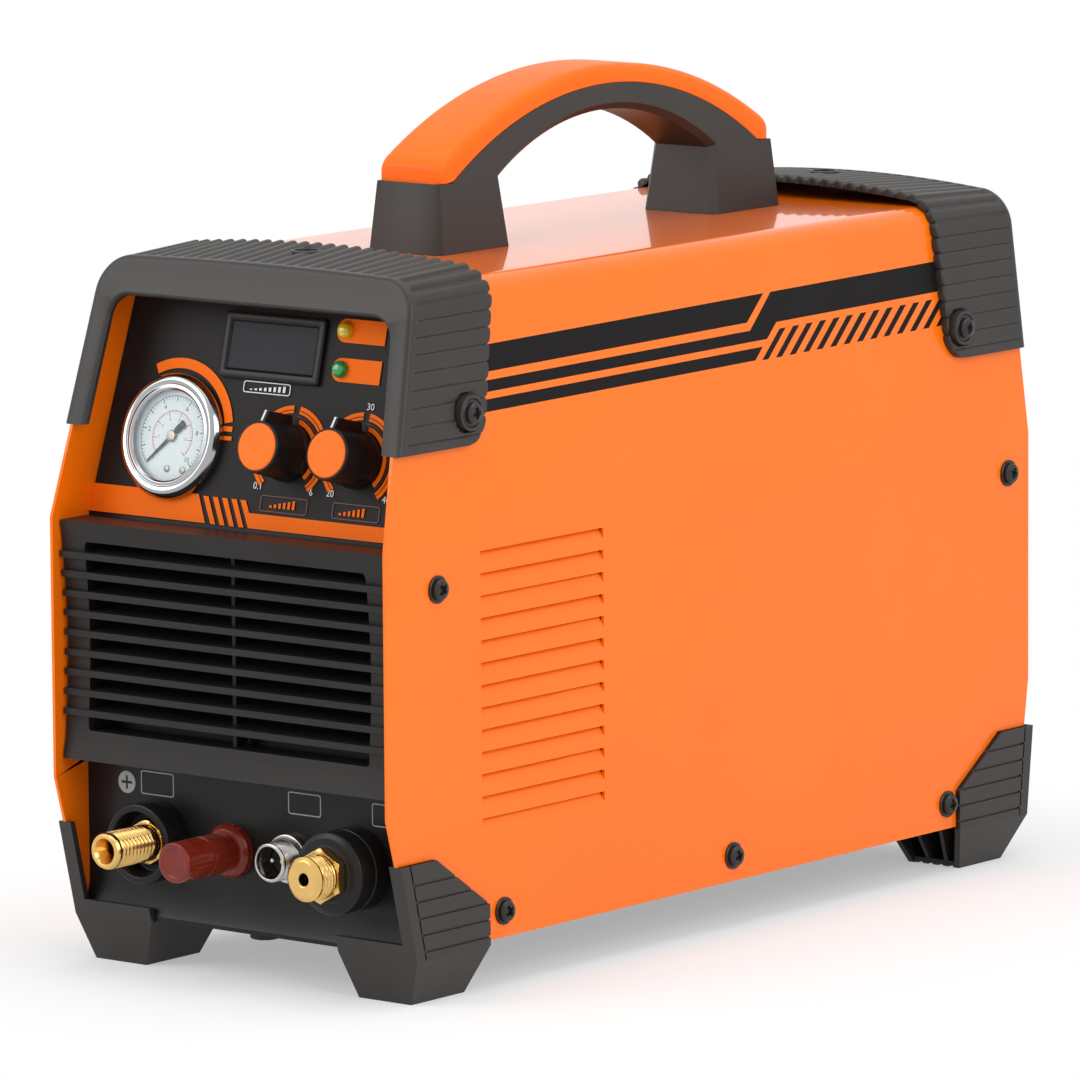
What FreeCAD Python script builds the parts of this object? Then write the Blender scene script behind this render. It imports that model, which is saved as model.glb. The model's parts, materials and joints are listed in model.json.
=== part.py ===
"""Portable air plasma cutter: a sheet-metal case with moulded guards, feet, handle, grille and connectors.

Millimetres. X runs across the case with 0 on its centre plane, Y from front to back and Z up from the floor.
Sketches are drawn with Y counted from the front edge of the cover's sides. Each piece's Placement then moves
it back by half of the overall depth, so that the origin is at the bottom centre of the whole unit.
"""
import FreeCAD, Part
import Sketcher
import math
import os
import re
from FreeCAD import Vector

doc = FreeCAD.newDocument("PlasmaCutter")

# Driving dimensions: name, value in millimetres (slopes are millimetres per millimetre), meaning
SIZES = [
    ("case_width", 150.0, "across the cover's side sheets"),
    ("case_depth", 371.0, "cover, front edge to rear edge"),
    ("sheet", 1.2, "steel sheet thickness"),
    ("cover_bottom", 17.0, "lower edge of the cover"),
    ("knee_height", 66.0, "where the lower edges start to slope back"),
    ("shoulder_height", 157.0, "where the sides start to lean in"),
    ("side_lean", 0.0928, "sides lean in above the shoulder"),
    ("roof_corner", 8.5, "bend radius between side and roof"),
    ("front_upper_slope", 0.255, "front edge above the shoulder"),
    ("front_lower_slope", 0.28, "front edge below the knee"),
    ("rear_upper_slope", 0.045, "rear edge above the shoulder"),
    ("rear_lower_slope", 0.15, "rear edge below the knee"),
    ("seat_gap", 0.1, "clearance between pieces that are screwed together"),
    ("louvre_count", 13, "louvres on each side"),
    ("louvre_front", 50.8, "front end of the louvres"),
    ("louvre_length", 67.6, "length of a louvre"),
    ("louvre_low", 56.1, "hinge line of the lowest louvre"),
    ("louvre_head", 4.9, "highest louvre, below the shoulder"),
    ("louvre_rise", 3.6, "height of a louvre's tongue"),
    ("louvre_push", 2.2, "how far a tongue leans inward"),
    ("screw_radius", 2.0, "case screw shank"),
    ("screw_head_radius", 4.8, "case screw flanged head"),
    ("screw_head_height", 3.2, "case screw head"),
    ("screw_length", 9.0, "case screw shank length behind its head"),
    ("screw_hole_gap", 0.2, "radial gap of the screw holes"),
    ("front_screw_depth", 27.4, "middle front screw, from the front edge"),
    ("front_screw_drop", 4.5, "middle front screw, below the bend of the front panel"),
    ("rear_screw_inset", 13.0, "middle rear screw, from the rear edge"),
    ("rear_screw_drop", 13.4, "middle rear screw, below the shoulder"),
    ("low_screw_rise", 9.2, "screws along the bottom, above the cover's lower edge"),
    ("low_front_screw", 62.0, "front screw of the bottom row"),
    ("low_middle_screw", 191.5, "middle screw of the bottom row"),
    ("low_rear_screw_inset", 51.0, "rear screw of the bottom row, from the rear edge"),
    ("tray_flange", 19.0, "height of the tray's side flanges"),
    ("panel_flange", 17.0, "depth of the end panels' side flanges"),
    ("face_inset", 18.9, "control face behind the front edge, at the shoulder"),
    ("face_slope", 0.245, "control face leans back"),
    ("lower_inset", 16.7, "connector face behind the front edge"),
    ("lip_inset", 14.0, "bottom lip of the front panel"),
    ("lip_height", 27.0, "where the bottom lip starts"),
    ("panel_bottom", 18.3, "lower edge of the end panels"),
    ("overlay", 0.4, "control overlay film"),
    ("film_drop", 9.0, "upper edge of the overlay film below the roof"),
    ("film_margin", 6.3, "overlay film above the display, up the control face"),
    ("rear_inset", 9.0, "rear panel inside the rear edge"),
    ("guard_height", 55.2, "lower edge of both guards, below the roof"),
    ("guard_wall", 3.0, "wall of the guards"),
    ("guard_corner", 14.0, "upper outside corners of the guards"),
    ("guard_rim", 9.0, "width of the guards' rims beside the opening"),
    ("guard_opening_drop", 10.5, "top of the openings in the guards, below the roof"),
    ("guard_opening_corner", 8.0, "upper corners of the openings"),
    ("guard_foot_radius", 10.0, "lower inner corners of the guards' sides"),
    ("front_guard_over", 3.5, "front guard over the roof, at its rim"),
    ("front_guard_rise", 0.072, "front guard's top climbs to the rear"),
    ("front_guard_depth", 54.0, "front guard's side, from the front edge"),
    ("guard_bow", 10.0, "how far the guards' inner edges bow at the centre"),
    ("rear_guard_over", 6.0, "rear guard over the roof, at its rim"),
    ("rear_guard_rise", 0.075, "rear guard's top climbs to the front"),
    ("rear_guard_depth", 58.0, "rear guard's side, from the rear edge"),
    ("rib_depth", 1.0, "grooves between the guards' ribs"),
    ("rib_groove", 1.7, "width of a groove between ribs"),
    ("side_rib_count", 9, "grooves on each side of a guard"),
    ("side_rib_start", 5.2, "lowest side groove above a guard's lower edge"),
    ("side_rib_pitch", 5.4, "spacing of the side grooves"),
    ("top_rib_count", 22, "grooves on the top of a guard"),
    ("top_rib_span", 108.0, "from the first to the last top groove"),
    ("rib_start", 9.0, "grooves start this far behind the rim's face"),
    ("guard_screw_depth", 46.0, "front guard's screw from the front edge"),
    ("guard_screw_inset", 44.4, "rear guard's screw from the rear edge"),
    ("guard_screw_rise", 11.2, "guard screws above the guards' lower edge"),
    ("guard_boss_radius", 6.6, "boss round a guard screw"),
    ("guard_hole_radius", 5.0, "recessed hole in a guard's top"),
    ("grille_bottom", 72.5, "front grille"),
    ("grille_gap", 1.0, "front grille's top below the shoulder"),
    ("grille_proud", 13.7, "top and bottom of the grille in front of the connector face"),
    ("grille_hollow", 3.5, "how far the grille's face is hollowed at mid height"),
    ("grille_side", 10.0, "frame beside the grille's opening"),
    ("grille_lower_band", 14.5, "frame below the opening"),
    ("grille_upper_band", 7.0, "frame above the opening"),
    ("bar_count", 9, "grille bars"),
    ("bar_nose", 2.3, "height of a bar's nose"),
    ("bar_proud", 1.9, "how far a nose stands in front of the frame"),
    ("bar_depth", 9.0, "blade behind a bar's nose"),
    ("bar_climb", 2.6, "how far a blade climbs to its rear edge"),
    ("bar_blade", 1.3, "thickness of a blade"),
    ("mullion", 1.5, "upright in the middle of the grille"),
    ("handle_front_gap", 37.5, "handle behind the front guard"),
    ("handle_rear_gap", 3.5, "handle in front of the rear guard"),
    ("handle_leg", 41.2, "length of a leg at the roof"),
    ("handle_leg_lean", 4.0, "outer faces lean in towards the cap"),
    ("shelf_rise", 24.3, "top of the legs over the roof, at their outer ends"),
    ("handle_inner_lean", 2.7, "inner faces lean out towards the roof"),
    ("handle_arch_radius", 107.0, "underside of the arch"),
    ("arch_drop", 9.3, "underside of the arch below the joint line, at the crown"),
    ("joint_rise", 27.7, "crown of the cap's joint line over the tops of the legs"),
    ("joint_inset", 6.7, "joint line's ends, from the ends of the cap"),
    ("cap_crown", 7.0, "thickness of the cap at its crown"),
    ("cap_lip", 2.56, "height of the cap at its ends"),
    ("cap_step", 0.5, "ends of the cap inside the legs' outer faces"),
    ("cap_round", 3.4, "rounded long edges of the cap"),
    ("handle_width", 33.4, "legs at the roof"),
    ("handle_neck_width", 28.0, "handle at the joint line"),
    ("plug_end_gap", 0.4, "oval plugs, from the ends of the cap"),
    ("plug_length", 24.0, "oval plug along the handle"),
    ("plug_width", 14.0, "oval plug across the handle"),
    ("plug_depth", 1.6, "oval plug"),
    ("foot_wall", 2.0, "feet over the cover's sides"),
    ("foot_top", 50.0, "upper edge of a foot's side"),
    ("foot_taper", 5.3, "outer face of a foot draws in towards the floor"),
    ("foot_width", 29.0, "foot across, at the case bottom"),
    ("foot_face_height", 21.0, "upper edge of a foot's full-width face"),
    ("foot_lip", 3.0, "width of a foot's lip round the edge of the cover's side"),
    ("foot_groove", 0.8, "grooves on a foot's side"),
    ("foot_groove_pitch", 5.7, "spacing of the grooves on a foot"),
    ("foot_groove_low", 20.5, "lowest groove on a foot"),
    ("foot_groove_count", 5, "grooves on a foot"),
    ("foot_skin", 2.2, "walls of a foot's hollow underside"),
    ("foot_cells", 3, "hollow cells of a foot"),
    ("foot_back_height", 31.0, "where a foot's far edge starts to slope"),
    ("foot_heel_rise", 14.0, "where a foot's heel meets its far edge"),
    ("front_foot_toe", 17.4, "front foot on the floor, from the front edge"),
    ("front_foot_heel", 43.0, "front foot on the floor, from the front edge"),
    ("front_foot_back", 52.6, "front foot's far edge"),
    ("front_foot_peak", 27.0, "upper end of a front foot's slope"),
    ("rear_foot_toe", 38.5, "rear foot on the floor, from the rear edge"),
    ("rear_foot_heel", 13.2, "rear foot on the floor, from the rear edge"),
    ("rear_foot_back", 45.0, "rear foot's far edge, from the rear edge"),
    ("rear_foot_peak", 19.3, "upper end of a rear foot's slope, from the rear edge"),
    ("plug_radius", 5.2, "rubber plug under the tray"),
    ("plug_drop", 3.0, "rubber plug below the tray"),
    ("plug_inset", 24.0, "rubber plug from the front edge"),
    ("gauge_across", -39.5, "gauge centre"),
    ("gauge_along", 28.8, "gauge centre up the control face"),
    ("gauge_radius", 22.0, "gauge bezel"),
    ("gauge_proud", 5.0, "gauge bezel in front of the overlay"),
    ("gauge_rim", 2.6, "bezel outside the gauge case"),
    ("gauge_case_depth", 26.0, "gauge case behind the overlay"),
    ("gauge_border", 5.4, "width of the bezel, seen from the front"),
    ("gauge_dial_drop", 3.5, "dial behind the bezel's front"),
    ("gauge_wall", 1.1, "gauge case wall"),
    ("gauge_glass", 1.0, "gauge glass"),
    ("needle_hub_radius", 2.2, "needle hub"),
    ("needle_gap", 4.0, "needle's tip inside the bezel"),
    ("needle_pin_radius", 0.85, "needle's pin"),
    ("turn_gap", 0.05, "radial running clearance of the pivots"),
    ("display_left", -23.0, "display bezel"),
    ("display_right", 21.5, "display bezel"),
    ("display_gap", 0.2, "display bezel above the gauge's"),
    ("display_height", 23.0, "display bezel up the control face"),
    ("display_proud", 2.0, "display bezel in front of the overlay"),
    ("display_frame", 3.2, "bezel border round the window"),
    ("lamp_radius", 2.6, "indicator lamps"),
    ("lamp_across", 29.9, "indicator lamps"),
    ("warning_drop", 3.2, "upper lamp below the display's upper edge"),
    ("power_rise", 6.4, "lower lamp above the display's lower edge"),
    ("left_knob_across", 12.4, "left knob"),
    ("right_knob_across", 43.2, "right knob"),
    ("knob_along", 27.2, "knobs up the control face"),
    ("knob_radius", 10.0, "knob at its skirt"),
    ("knob_taper", 1.0, "how much narrower a knob is at its front"),
    ("knob_fin", 2.7, "thickness of a knob's pointer fin"),
    ("knob_fin_reach", 2.8, "pointer fin outside the knob's skirt"),
    ("knob_fin_slope", 1.6, "how far the fin's front edge falls back"),
    ("knob_height", 18.0, "knob in front of the overlay"),
    ("knob_rim", 0.7, "knob's rim round its coloured cap"),
    ("knob_cap_height", 1.6, "coloured cap on a knob"),
    ("knob_lift", 0.8, "gap between a knob and the overlay"),
    ("shaft_radius", 3.0, "potentiometer shaft"),
    ("bushing_radius", 3.6, "potentiometer bushing"),
    ("pot_radius", 8.5, "potentiometer case"),
    ("pot_depth", 10.0, "potentiometer case"),
    ("port_height", 45.0, "connectors above the floor"),
    ("left_port_across", -41.6, "left torch connector"),
    ("right_port_across", 47.8, "right torch connector"),
    ("left_cup_radius", 14.2, "left connector's cup"),
    ("left_cup_depth", 11.5, "left connector's cup"),
    ("left_hex", 14.7, "left fitting across its flats"),
    ("left_nozzle_radius", 6.5, "left fitting's threaded nose"),
    ("left_reach", 28.8, "left fitting in front of the connector face"),
    ("left_bore_radius", 2.4, "left fitting's gas bore"),
    ("left_cone_radius", 4.6, "left fitting's conical seat at its mouth"),
    ("right_disc_radius", 14.4, "right connector's insulator"),
    ("right_disc_depth", 16.7, "right connector's insulator"),
    ("right_hex", 17.0, "right fitting across its flats"),
    ("right_nozzle_radius", 7.7, "right fitting's threaded nose"),
    ("right_reach", 29.1, "right fitting in front of the connector face"),
    ("right_bore_radius", 2.2, "right fitting's gas bore"),
    ("terminal_across", -8.0, "insulated terminal"),
    ("terminal_flange_radius", 9.4, "insulated terminal's collar"),
    ("terminal_flange", 4.9, "insulated terminal's collar"),
    ("terminal_cap_radius", 7.1, "insulated terminal's screw cap"),
    ("terminal_reach", 31.2, "insulated terminal in front of the connector face"),
    ("stud_radius", 3.0, "terminal stud"),
    ("socket_across", 18.0, "round signal socket"),
    ("socket_radius", 6.8, "round signal socket"),
    ("socket_reach", 11.7, "round signal socket"),
    ("socket_wall", 1.2, "round signal socket's wall"),
    ("socket_flange_radius", 8.6, "round signal socket's flange"),
    ("socket_floor", 3.6, "insulator's face inside the signal socket"),
    ("socket_pin_radius", 0.9, "signal socket's pins"),
    ("socket_pin_length", 4.2, "signal socket's pins"),
    ("socket_pin_spread", 2.2, "signal socket's pins from its centre"),
    ("fan_across", 12.0, "fan centre"),
    ("fan_height", 112.0, "fan centre"),
    ("fan_size", 92.0, "fan frame, square"),
    ("fan_depth", 25.4, "fan frame"),
    ("fan_bore", 43.5, "fan frame's throat radius"),
    ("fan_hub_radius", 17.0, "rotor hub"),
    ("fan_tip_gap", 1.4, "blade tips to the throat"),
    ("fan_blades", 7, "rotor blades"),
    ("fan_slot_pitch", 8.0, "slots punched over the fan"),
    ("fan_slot", 5.0, "height of a punched slot"),
    ("fan_pin_radius", 2.0, "rotor shaft"),
    ("switch_across", -44.0, "mains switch"),
    ("switch_rise", 48.0, "mains switch above the shoulder"),
    ("switch_length", 30.0, "mains switch bezel, upright"),
    ("switch_width", 22.0, "mains switch bezel, across"),
    ("switch_depth", 20.0, "mains switch behind the panel"),
    ("switch_tilt", 10.0, "rocker's angle from the panel, in degrees"),
    ("gland_across", -46.0, "mains lead gland"),
    ("gland_height", 52.0, "mains lead gland"),
    ("gland_radius", 11.0, "mains lead gland"),
    ("gland_bore", 5.5, "mains lead gland's opening"),
    ("gland_reach", 20.0, "mains lead gland behind the rear panel"),
    ("inlet_across", 50.0, "air inlet"),
    ("inlet_height", 44.0, "air inlet"),
    ("inlet_radius", 5.0, "air inlet's plug nipple"),
    ("inlet_hex", 17.0, "air inlet across its flats"),
    ("inlet_reach", 26.0, "air inlet behind the rear panel"),
    ("inlet_bore", 2.6, "air inlet's bore"),
    ("board_height", 50.0, "power board above the floor"),
    ("board_thick", 1.6, "power board"),
    ("board_half_width", 62.0, "power board"),
    ("board_front", 78.0, "power board's front edge"),
    ("board_room", 88.0, "power board in front of the rear panel"),
    ("standoff_radius", 3.5, "board pillars"),
    ("sink_fin", 1.6, "heat sink fins"),
    ("sink_pitch", 5.0, "heat sink fins' spacing"),
    ("sink_fins", 11, "fins of a heat sink"),
    ("sink_height", 48.0, "heat sinks"),
    ("sink_start", 66.0, "heat sinks behind the board's front edge"),
    ("sink_end", 10.0, "heat sinks in front of the board's rear edge"),
    ("core_inset", 56.0, "transformer in front of the rear panel"),
    ("core_length", 56.0, "transformer core"),
    ("core_height", 40.0, "transformer core"),
    ("coil_radius", 20.0, "transformer coil"),
    ("capacitor_radius", 12.5, "smoothing capacitors"),
    ("capacitor_height", 45.0, "smoothing capacitors"),
]

# Values that follow from the driving dimensions
DERIVED = [
    ("half_width", "case_width / 2"),
    ("face_cos", "1 / sqrt(1 + face_slope * face_slope)"),
    ("face_sin", "face_slope / sqrt(1 + face_slope * face_slope)"),
    ("gauge_case_radius", "gauge_radius - gauge_rim"),
    ("gauge_view_radius", "gauge_radius - gauge_border"),
    ("needle_length", "gauge_view_radius - needle_gap"),
    ("display_low", "gauge_along + gauge_radius + display_gap"),
    ("display_high", "display_low + display_height"),
    ("warning_along", "display_high - warning_drop"),
    ("power_along", "display_low + power_rise"),
    ("cover_top", "shoulder_height + (display_high + film_margin) * face_cos + film_drop"),
    ("roof_half", "half_width - side_lean * (cover_top - shoulder_height)"),
    ("inner_half", "half_width - sheet - seat_gap"),
    ("floor_top", "cover_bottom + sheet"),
    ("bend_height", "shoulder_height - (face_inset + overlay / face_cos - lower_inset) / face_slope"),
    ("louvre_pitch", "(shoulder_height - louvre_head - louvre_rise - louvre_low) / (louvre_count - 1)"),
    ("front_screw_height", "bend_height - front_screw_drop"),
    ("rear_screw_height", "shoulder_height - rear_screw_drop"),
    ("low_screw_height", "cover_bottom + low_screw_rise"),
    ("guard_bottom", "cover_top - guard_height"),
    ("guard_opening_top", "cover_top - guard_opening_drop"),
    ("front_guard_top", "cover_top + front_guard_over"),
    ("rear_guard_top", "cover_top + rear_guard_over"),
    ("side_rib_low", "guard_bottom + side_rib_start"),
    ("guard_screw_height", "guard_bottom + guard_screw_rise"),
    ("rim_front", "front_upper_slope * (guard_bottom - shoulder_height)"),
    ("rim_top", "front_upper_slope * (front_guard_top - shoulder_height)"),
    ("plan_half", "half_width + guard_wall + 2"),
    ("bow_radius", "(plan_half * plan_half + guard_bow * guard_bow) / (2 * guard_bow)"),
    ("front_end", "front_guard_depth + guard_bow"),
    ("rear_start", "case_depth - rear_guard_depth - guard_bow"),
    ("grille_top", "shoulder_height - grille_gap"),
    ("handle_half_span", "(rear_start - handle_rear_gap - front_end - handle_front_gap) / 2"),
    ("handle_centre", "(rear_start - handle_rear_gap + front_end + handle_front_gap) / 2"),
    ("handle_inner_span", "handle_half_span - handle_leg"),
    ("handle_shelf", "cover_top + shelf_rise"),
    ("cap_end", "handle_half_span - handle_leg_lean - cap_step"),
    ("joint_reach", "cap_end - joint_inset"),
    ("cap_lower_radius", "(joint_reach * joint_reach + joint_rise * joint_rise) / (2 * joint_rise)"),
    ("cap_lower_top", "handle_shelf + joint_rise"),
    ("cap_lower_centre", "cap_lower_top - cap_lower_radius"),
    ("handle_top", "cap_lower_top + cap_crown"),
    ("cap_rise", "handle_top - handle_shelf - cap_lip"),
    ("cap_upper_radius", "(cap_end * cap_end + cap_rise * cap_rise) / (2 * cap_rise)"),
    ("cap_upper_centre", "handle_top - cap_upper_radius"),
    ("handle_arch_top", "cap_lower_top - arch_drop"),
    ("arch_centre", "handle_arch_top - handle_arch_radius"),
    ("plug_reach", "(plug_length / 2 + plug_end_gap) / cap_upper_radius * 180 / pi"),
    ("plug_tilt", "asin(cap_end / cap_upper_radius) / 1 deg - plug_reach"),
    ("rear_face", "case_depth - rear_inset"),
    ("front_reach", "max(terminal_reach; max(left_reach; right_reach)) - lower_inset"),
    ("rear_reach", "rear_face + max(gland_reach; inlet_reach)"),
    ("middle", "(rear_reach - front_reach) / 2"),
    ("dial_face", "gauge_proud - gauge_dial_drop"),
    ("knob_tip_radius", "knob_radius - knob_taper"),
    ("knob_cap_radius", "knob_tip_radius - knob_rim"),
    ("switch_height", "shoulder_height + switch_rise"),
    ("board_length", "rear_face - board_front - board_room"),
    ("sink_length", "board_length - sink_start - sink_end"),
]

sizes = doc.addObject("Spreadsheet::Sheet", "Sizes")
for row, (name, number, meaning) in enumerate(SIZES, start=1):
    sizes.set("A%d" % row, meaning)
    sizes.set("B%d" % row, str(number))
    sizes.setAlias("B%d" % row, name)
derived = doc.addObject("Spreadsheet::Sheet", "Derived")
HOME = {name: "Sizes" for name, number, meaning in SIZES}
HOME.update({name: "Derived" for name, formula in DERIVED})


def bound(text):
    """Return an expression with each size's name led by the name of its sheet."""
    return re.sub(r"[a-z_]+", lambda word: "%s.%s" % (HOME[word[0]], word[0]) if word[0] in HOME else word[0],
                  str(text))


for row, (name, formula) in enumerate(DERIVED, start=1):
    derived.set("B%d" % row, "=" + bound(formula))
    derived.setAlias("B%d" % row, name)
doc.recompute()


def value(text):
    """Work out an expression now, as a plain number."""
    return float(sizes.evalExpression(bound(text)))


PIECES = []
BACK = "-middle"


def body(label, placed=True):
    """Start a body; a placed one becomes a piece of the unit and is moved back by half of the depth."""
    piece = doc.addObject("PartDesign::Body", label)
    piece.Label = label
    if placed:
        PIECES.append(piece)
        piece.setExpression("Placement.Base.y", bound(BACK))
    return piece


def place(piece, across, deep, up, turn):
    """Set a piece that is drawn about its own axis at a point of the case, turned about X by an angle."""
    piece.setExpression("Placement", bound("placement(vector(%s; %s - middle; %s); vector(1; 0; 0); %s)"
                                           % (across, deep, up, turn)))


def on_face(piece, across, along):
    """Set a piece on the sloping control face, its own Z pointing out of the face."""
    place(piece, across, "face_inset + (%s) * face_sin" % along, "shoulder_height + (%s) * face_cos" % along,
          "90 deg - atan(face_slope)")


def on_ports(piece, across):
    """Set a piece on the upright connector face, its own Z pointing forward."""
    place(piece, across, "lower_inset", "port_height", "90 deg")


def on_rear(piece, across, up):
    """Set a piece on the rear panel, its own Z pointing backward and its own Y pointing down."""
    place(piece, across, "rear_face", up, "-90 deg")


def sketch(piece, plane, at="0"):
    """Start a sketch parallel to an origin plane: front looks along Y, side along X and top along Z."""
    role, sign = {"front": ("XZ_Plane", "-"), "side": ("YZ_Plane", ""), "top": ("XY_Plane", "")}[plane]
    drawing = piece.newObject("Sketcher::SketchObject", "Sketch")
    origin = [feature for feature in piece.Origin.OriginFeatures if feature.Role == role][0]
    drawing.AttachmentSupport = [(origin, "")]
    drawing.MapMode = "FlatFace"
    drawing.setExpression("AttachmentOffset.Base.z", bound("%s(%s)" % (sign, at)))
    return drawing


def face_sketch(piece, out="0"):
    """Start a sketch on the sloping control face: x across, y up the slope from the shoulder."""
    drawing = sketch(piece, "front")
    drawing.setExpression("AttachmentOffset", bound(
        "placement(vector(0; shoulder_height + (%s) * face_sin; (%s) * face_cos - face_inset);"
        " vector(1; 0; 0); -atan(face_slope))" % (out, out)))
    return drawing


def outline(drawing, corners, arcs=None):
    """Draw a closed line through corners (x, y) or (x, y, radius).

    An arc replaces the straight line that starts at its corner's number.  It is given by its radius, which is
    negative where it bends right.
    """
    arcs = arcs or {}
    total = len(corners)
    spots = [Vector(value(corner[0]), value(corner[1]), 0) for corner in corners]
    radii = [value(corner[2]) if len(corner) > 2 else 0.0 for corner in corners]
    enter, leave, curves = [], [], {}
    for number, spot in enumerate(spots):
        to_last = (spots[number - 1] - spot).normalize()
        to_next = (spots[(number + 1) % total] - spot).normalize()
        if not radii[number]:
            enter.append(spot)
            leave.append(spot)
            continue
        half = to_last.getAngle(to_next) / 2
        run = radii[number] / math.tan(half)
        enter.append(spot + to_last * run)
        leave.append(spot + to_next * run)
        centre = spot + (to_last + to_next).normalize() * (radii[number] / math.sin(half))
        turns_left = to_last.cross(to_next).z < 0
        curves[number] = (centre, turns_left)
    first = drawing.GeometryCount
    shapes, rules, texts = [], [], []
    for number in range(total):
        start, end = leave[number], enter[(number + 1) % total]
        if number in arcs:
            radius = value(arcs[number])
            chord = end - start
            rise = math.sqrt(max(radius * radius - chord.Length * chord.Length / 4, 0.0))
            across = Vector(-chord.y, chord.x, 0).normalize() * (rise if radius > 0 else -rise)
            centre = (start + end) / 2 + across
            shapes.append(arc_between(centre, abs(radius), start, end, radius > 0))
        else:
            shapes.append(Part.LineSegment(start, end))
    bends = {}
    for number, (centre, turns_left) in curves.items():
        bends[number] = first + len(shapes)
        shapes.append(arc_between(centre, radii[number], enter[number], leave[number], turns_left))
    drawing.addGeometry(shapes, False)
    marks = {}
    for number in curves:
        marks[number] = drawing.addGeometry(Part.Point(spots[number]), True)

    def ends(number):
        """Return the start and end point numbers of an edge; an arc that bends right is drawn backwards."""
        return (2, 1) if number in arcs and value(arcs[number]) < 0 else (1, 2)

    for number in range(total):
        before, after = first + (number - 1) % total, first + number
        last_end, next_start = ends((number - 1) % total)[1], ends(number)[0]
        if number in curves:
            into, out = (1, 2) if curves[number][1] else (2, 1)
            rules.append(Sketcher.Constraint("Tangent", before, last_end, bends[number], into))
            rules.append(Sketcher.Constraint("Tangent", after, next_start, bends[number], out))
            rules.append(Sketcher.Constraint("PointOnObject", marks[number], 1, before))
            rules.append(Sketcher.Constraint("PointOnObject", marks[number], 1, after))
            texts.append((len(rules), corners[number][2]))
            rules.append(Sketcher.Constraint("Radius", bends[number], radii[number]))
            anchor = (marks[number], 1)
        else:
            rules.append(Sketcher.Constraint("Coincident", before, last_end, after, next_start))
            anchor = (after, next_start)
        if number in arcs:
            texts.append((len(rules), "abs(%s)" % arcs[number]))
            rules.append(Sketcher.Constraint("Radius", after, abs(value(arcs[number]))))
        texts.append((len(rules), corners[number][0]))
        rules.append(Sketcher.Constraint("DistanceX", -1, 1, anchor[0], anchor[1], spots[number].x))
        texts.append((len(rules), corners[number][1]))
        rules.append(Sketcher.Constraint("DistanceY", -1, 1, anchor[0], anchor[1], spots[number].y))
    bind(drawing, rules, texts)


def arc_between(centre, radius, start, end, left):
    """Return an arc from start to end that bends left, or its mirror drawn from end to start."""
    if not left:
        start, end = end, start
    turn_start = math.atan2(start.y - centre.y, start.x - centre.x)
    turn_end = math.atan2(end.y - centre.y, end.x - centre.x)
    return Part.ArcOfCircle(Part.Circle(centre, Vector(0, 0, 1), radius), turn_start, turn_end)


def bind(drawing, rules, texts):
    """Add constraints in one step, then bind the numbered ones to their expressions."""
    first = drawing.ConstraintCount
    drawing.addConstraint(rules)
    for number, text in texts:
        drawing.setExpression("Constraints[%d]" % (first + number), bound(text))


def box_outline(drawing, left, low, right, high, radius=None):
    """Draw a rectangle, with rounded corners where a radius is given."""
    corners = [(left, low), (right, low), (right, high), (left, high)]
    outline(drawing, [corner + (radius,) for corner in corners] if radius else corners)


def ring(drawing, across, up, radius):
    """Draw a circle."""
    circle = drawing.addGeometry(Part.Circle(Vector(value(across), value(up), 0), Vector(0, 0, 1),
                                             value(radius)))
    rules = [Sketcher.Constraint("Radius", circle, value(radius)),
             Sketcher.Constraint("DistanceX", -1, 1, circle, 3, value(across)),
             Sketcher.Constraint("DistanceY", -1, 1, circle, 3, value(up))]
    bind(drawing, rules, [(0, radius), (1, across), (2, up)])


def hexagon(drawing, flats):
    """Draw a hexagon about the origin, with two flats level."""
    side = "(%s) / sqrt(3)" % flats
    half = "(%s) / 2" % flats
    outline(drawing, [("-" + side, "0"), ("-(%s) / 2" % side, "-" + half), ("(%s) / 2" % side, "-" + half),
                      (side, "0"), ("(%s) / 2" % side, half), ("-(%s) / 2" % side, half)])


def pad(piece, drawing, length, way="out"):
    """Extrude a sketch: out along its normal, back against it, or half each way."""
    feature = piece.newObject("PartDesign::Pad", "Pad")
    feature.Profile = drawing
    feature.SideType = "Symmetric" if way == "both" else "One side"
    feature.Reversed = way == "back"
    feature.setExpression("Length", bound(length))
    drawing.Visibility = False
    return feature


def pocket(piece, drawing, length=None, way="back"):
    """Cut a sketch out of its body: back against its normal, out along it, or through all both ways."""
    feature = piece.newObject("PartDesign::Pocket", "Pocket")
    feature.Profile = drawing
    if way == "both":
        feature.SideType = "Symmetric"
    feature.Reversed = way == "out"
    if length is None:
        feature.Type = "ThroughAll"
    else:
        feature.setExpression("Length", bound(length))
    drawing.Visibility = False
    return feature


def spread(piece, feature, role, length, count):
    """Repeat a feature along an origin axis of its body."""
    pattern = piece.newObject("PartDesign::LinearPattern", "Pattern")
    pattern.Originals = [feature]
    pattern.Direction = ([axis for axis in piece.Origin.OriginFeatures if axis.Role == role][0], [""])
    pattern.setExpression("Length", bound(length))
    pattern.setExpression("Occurrences", bound(count))
    piece.Tip = pattern
    return pattern


def trim(piece, plane, corners, arcs=None, reach="600"):
    """Cut away everything outside an outline."""
    drawing = sketch(piece, plane)
    box_outline(drawing, "-(%s)" % reach, "-(%s)" % reach, reach, reach)
    outline(drawing, corners, arcs)
    return pocket(piece, drawing, way="both")


def turned(piece, profile, arcs=None):
    """Turn a profile of (radius, height) corners about the body's own Z axis."""
    drawing = sketch(piece, "front")
    outline(drawing, profile, arcs)
    feature = piece.newObject("PartDesign::Revolution", "Turned")
    feature.Profile = drawing
    feature.ReferenceAxis = (drawing, ["V_Axis"])
    feature.Angle = 360
    drawing.Visibility = False
    return feature


def leaning(height, out="0"):
    """Half width of the cover's outside at a height above the shoulder, moved out by a distance."""
    return "half_width - side_lean * ((%s) - shoulder_height) + (%s)" % (height, out)


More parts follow.
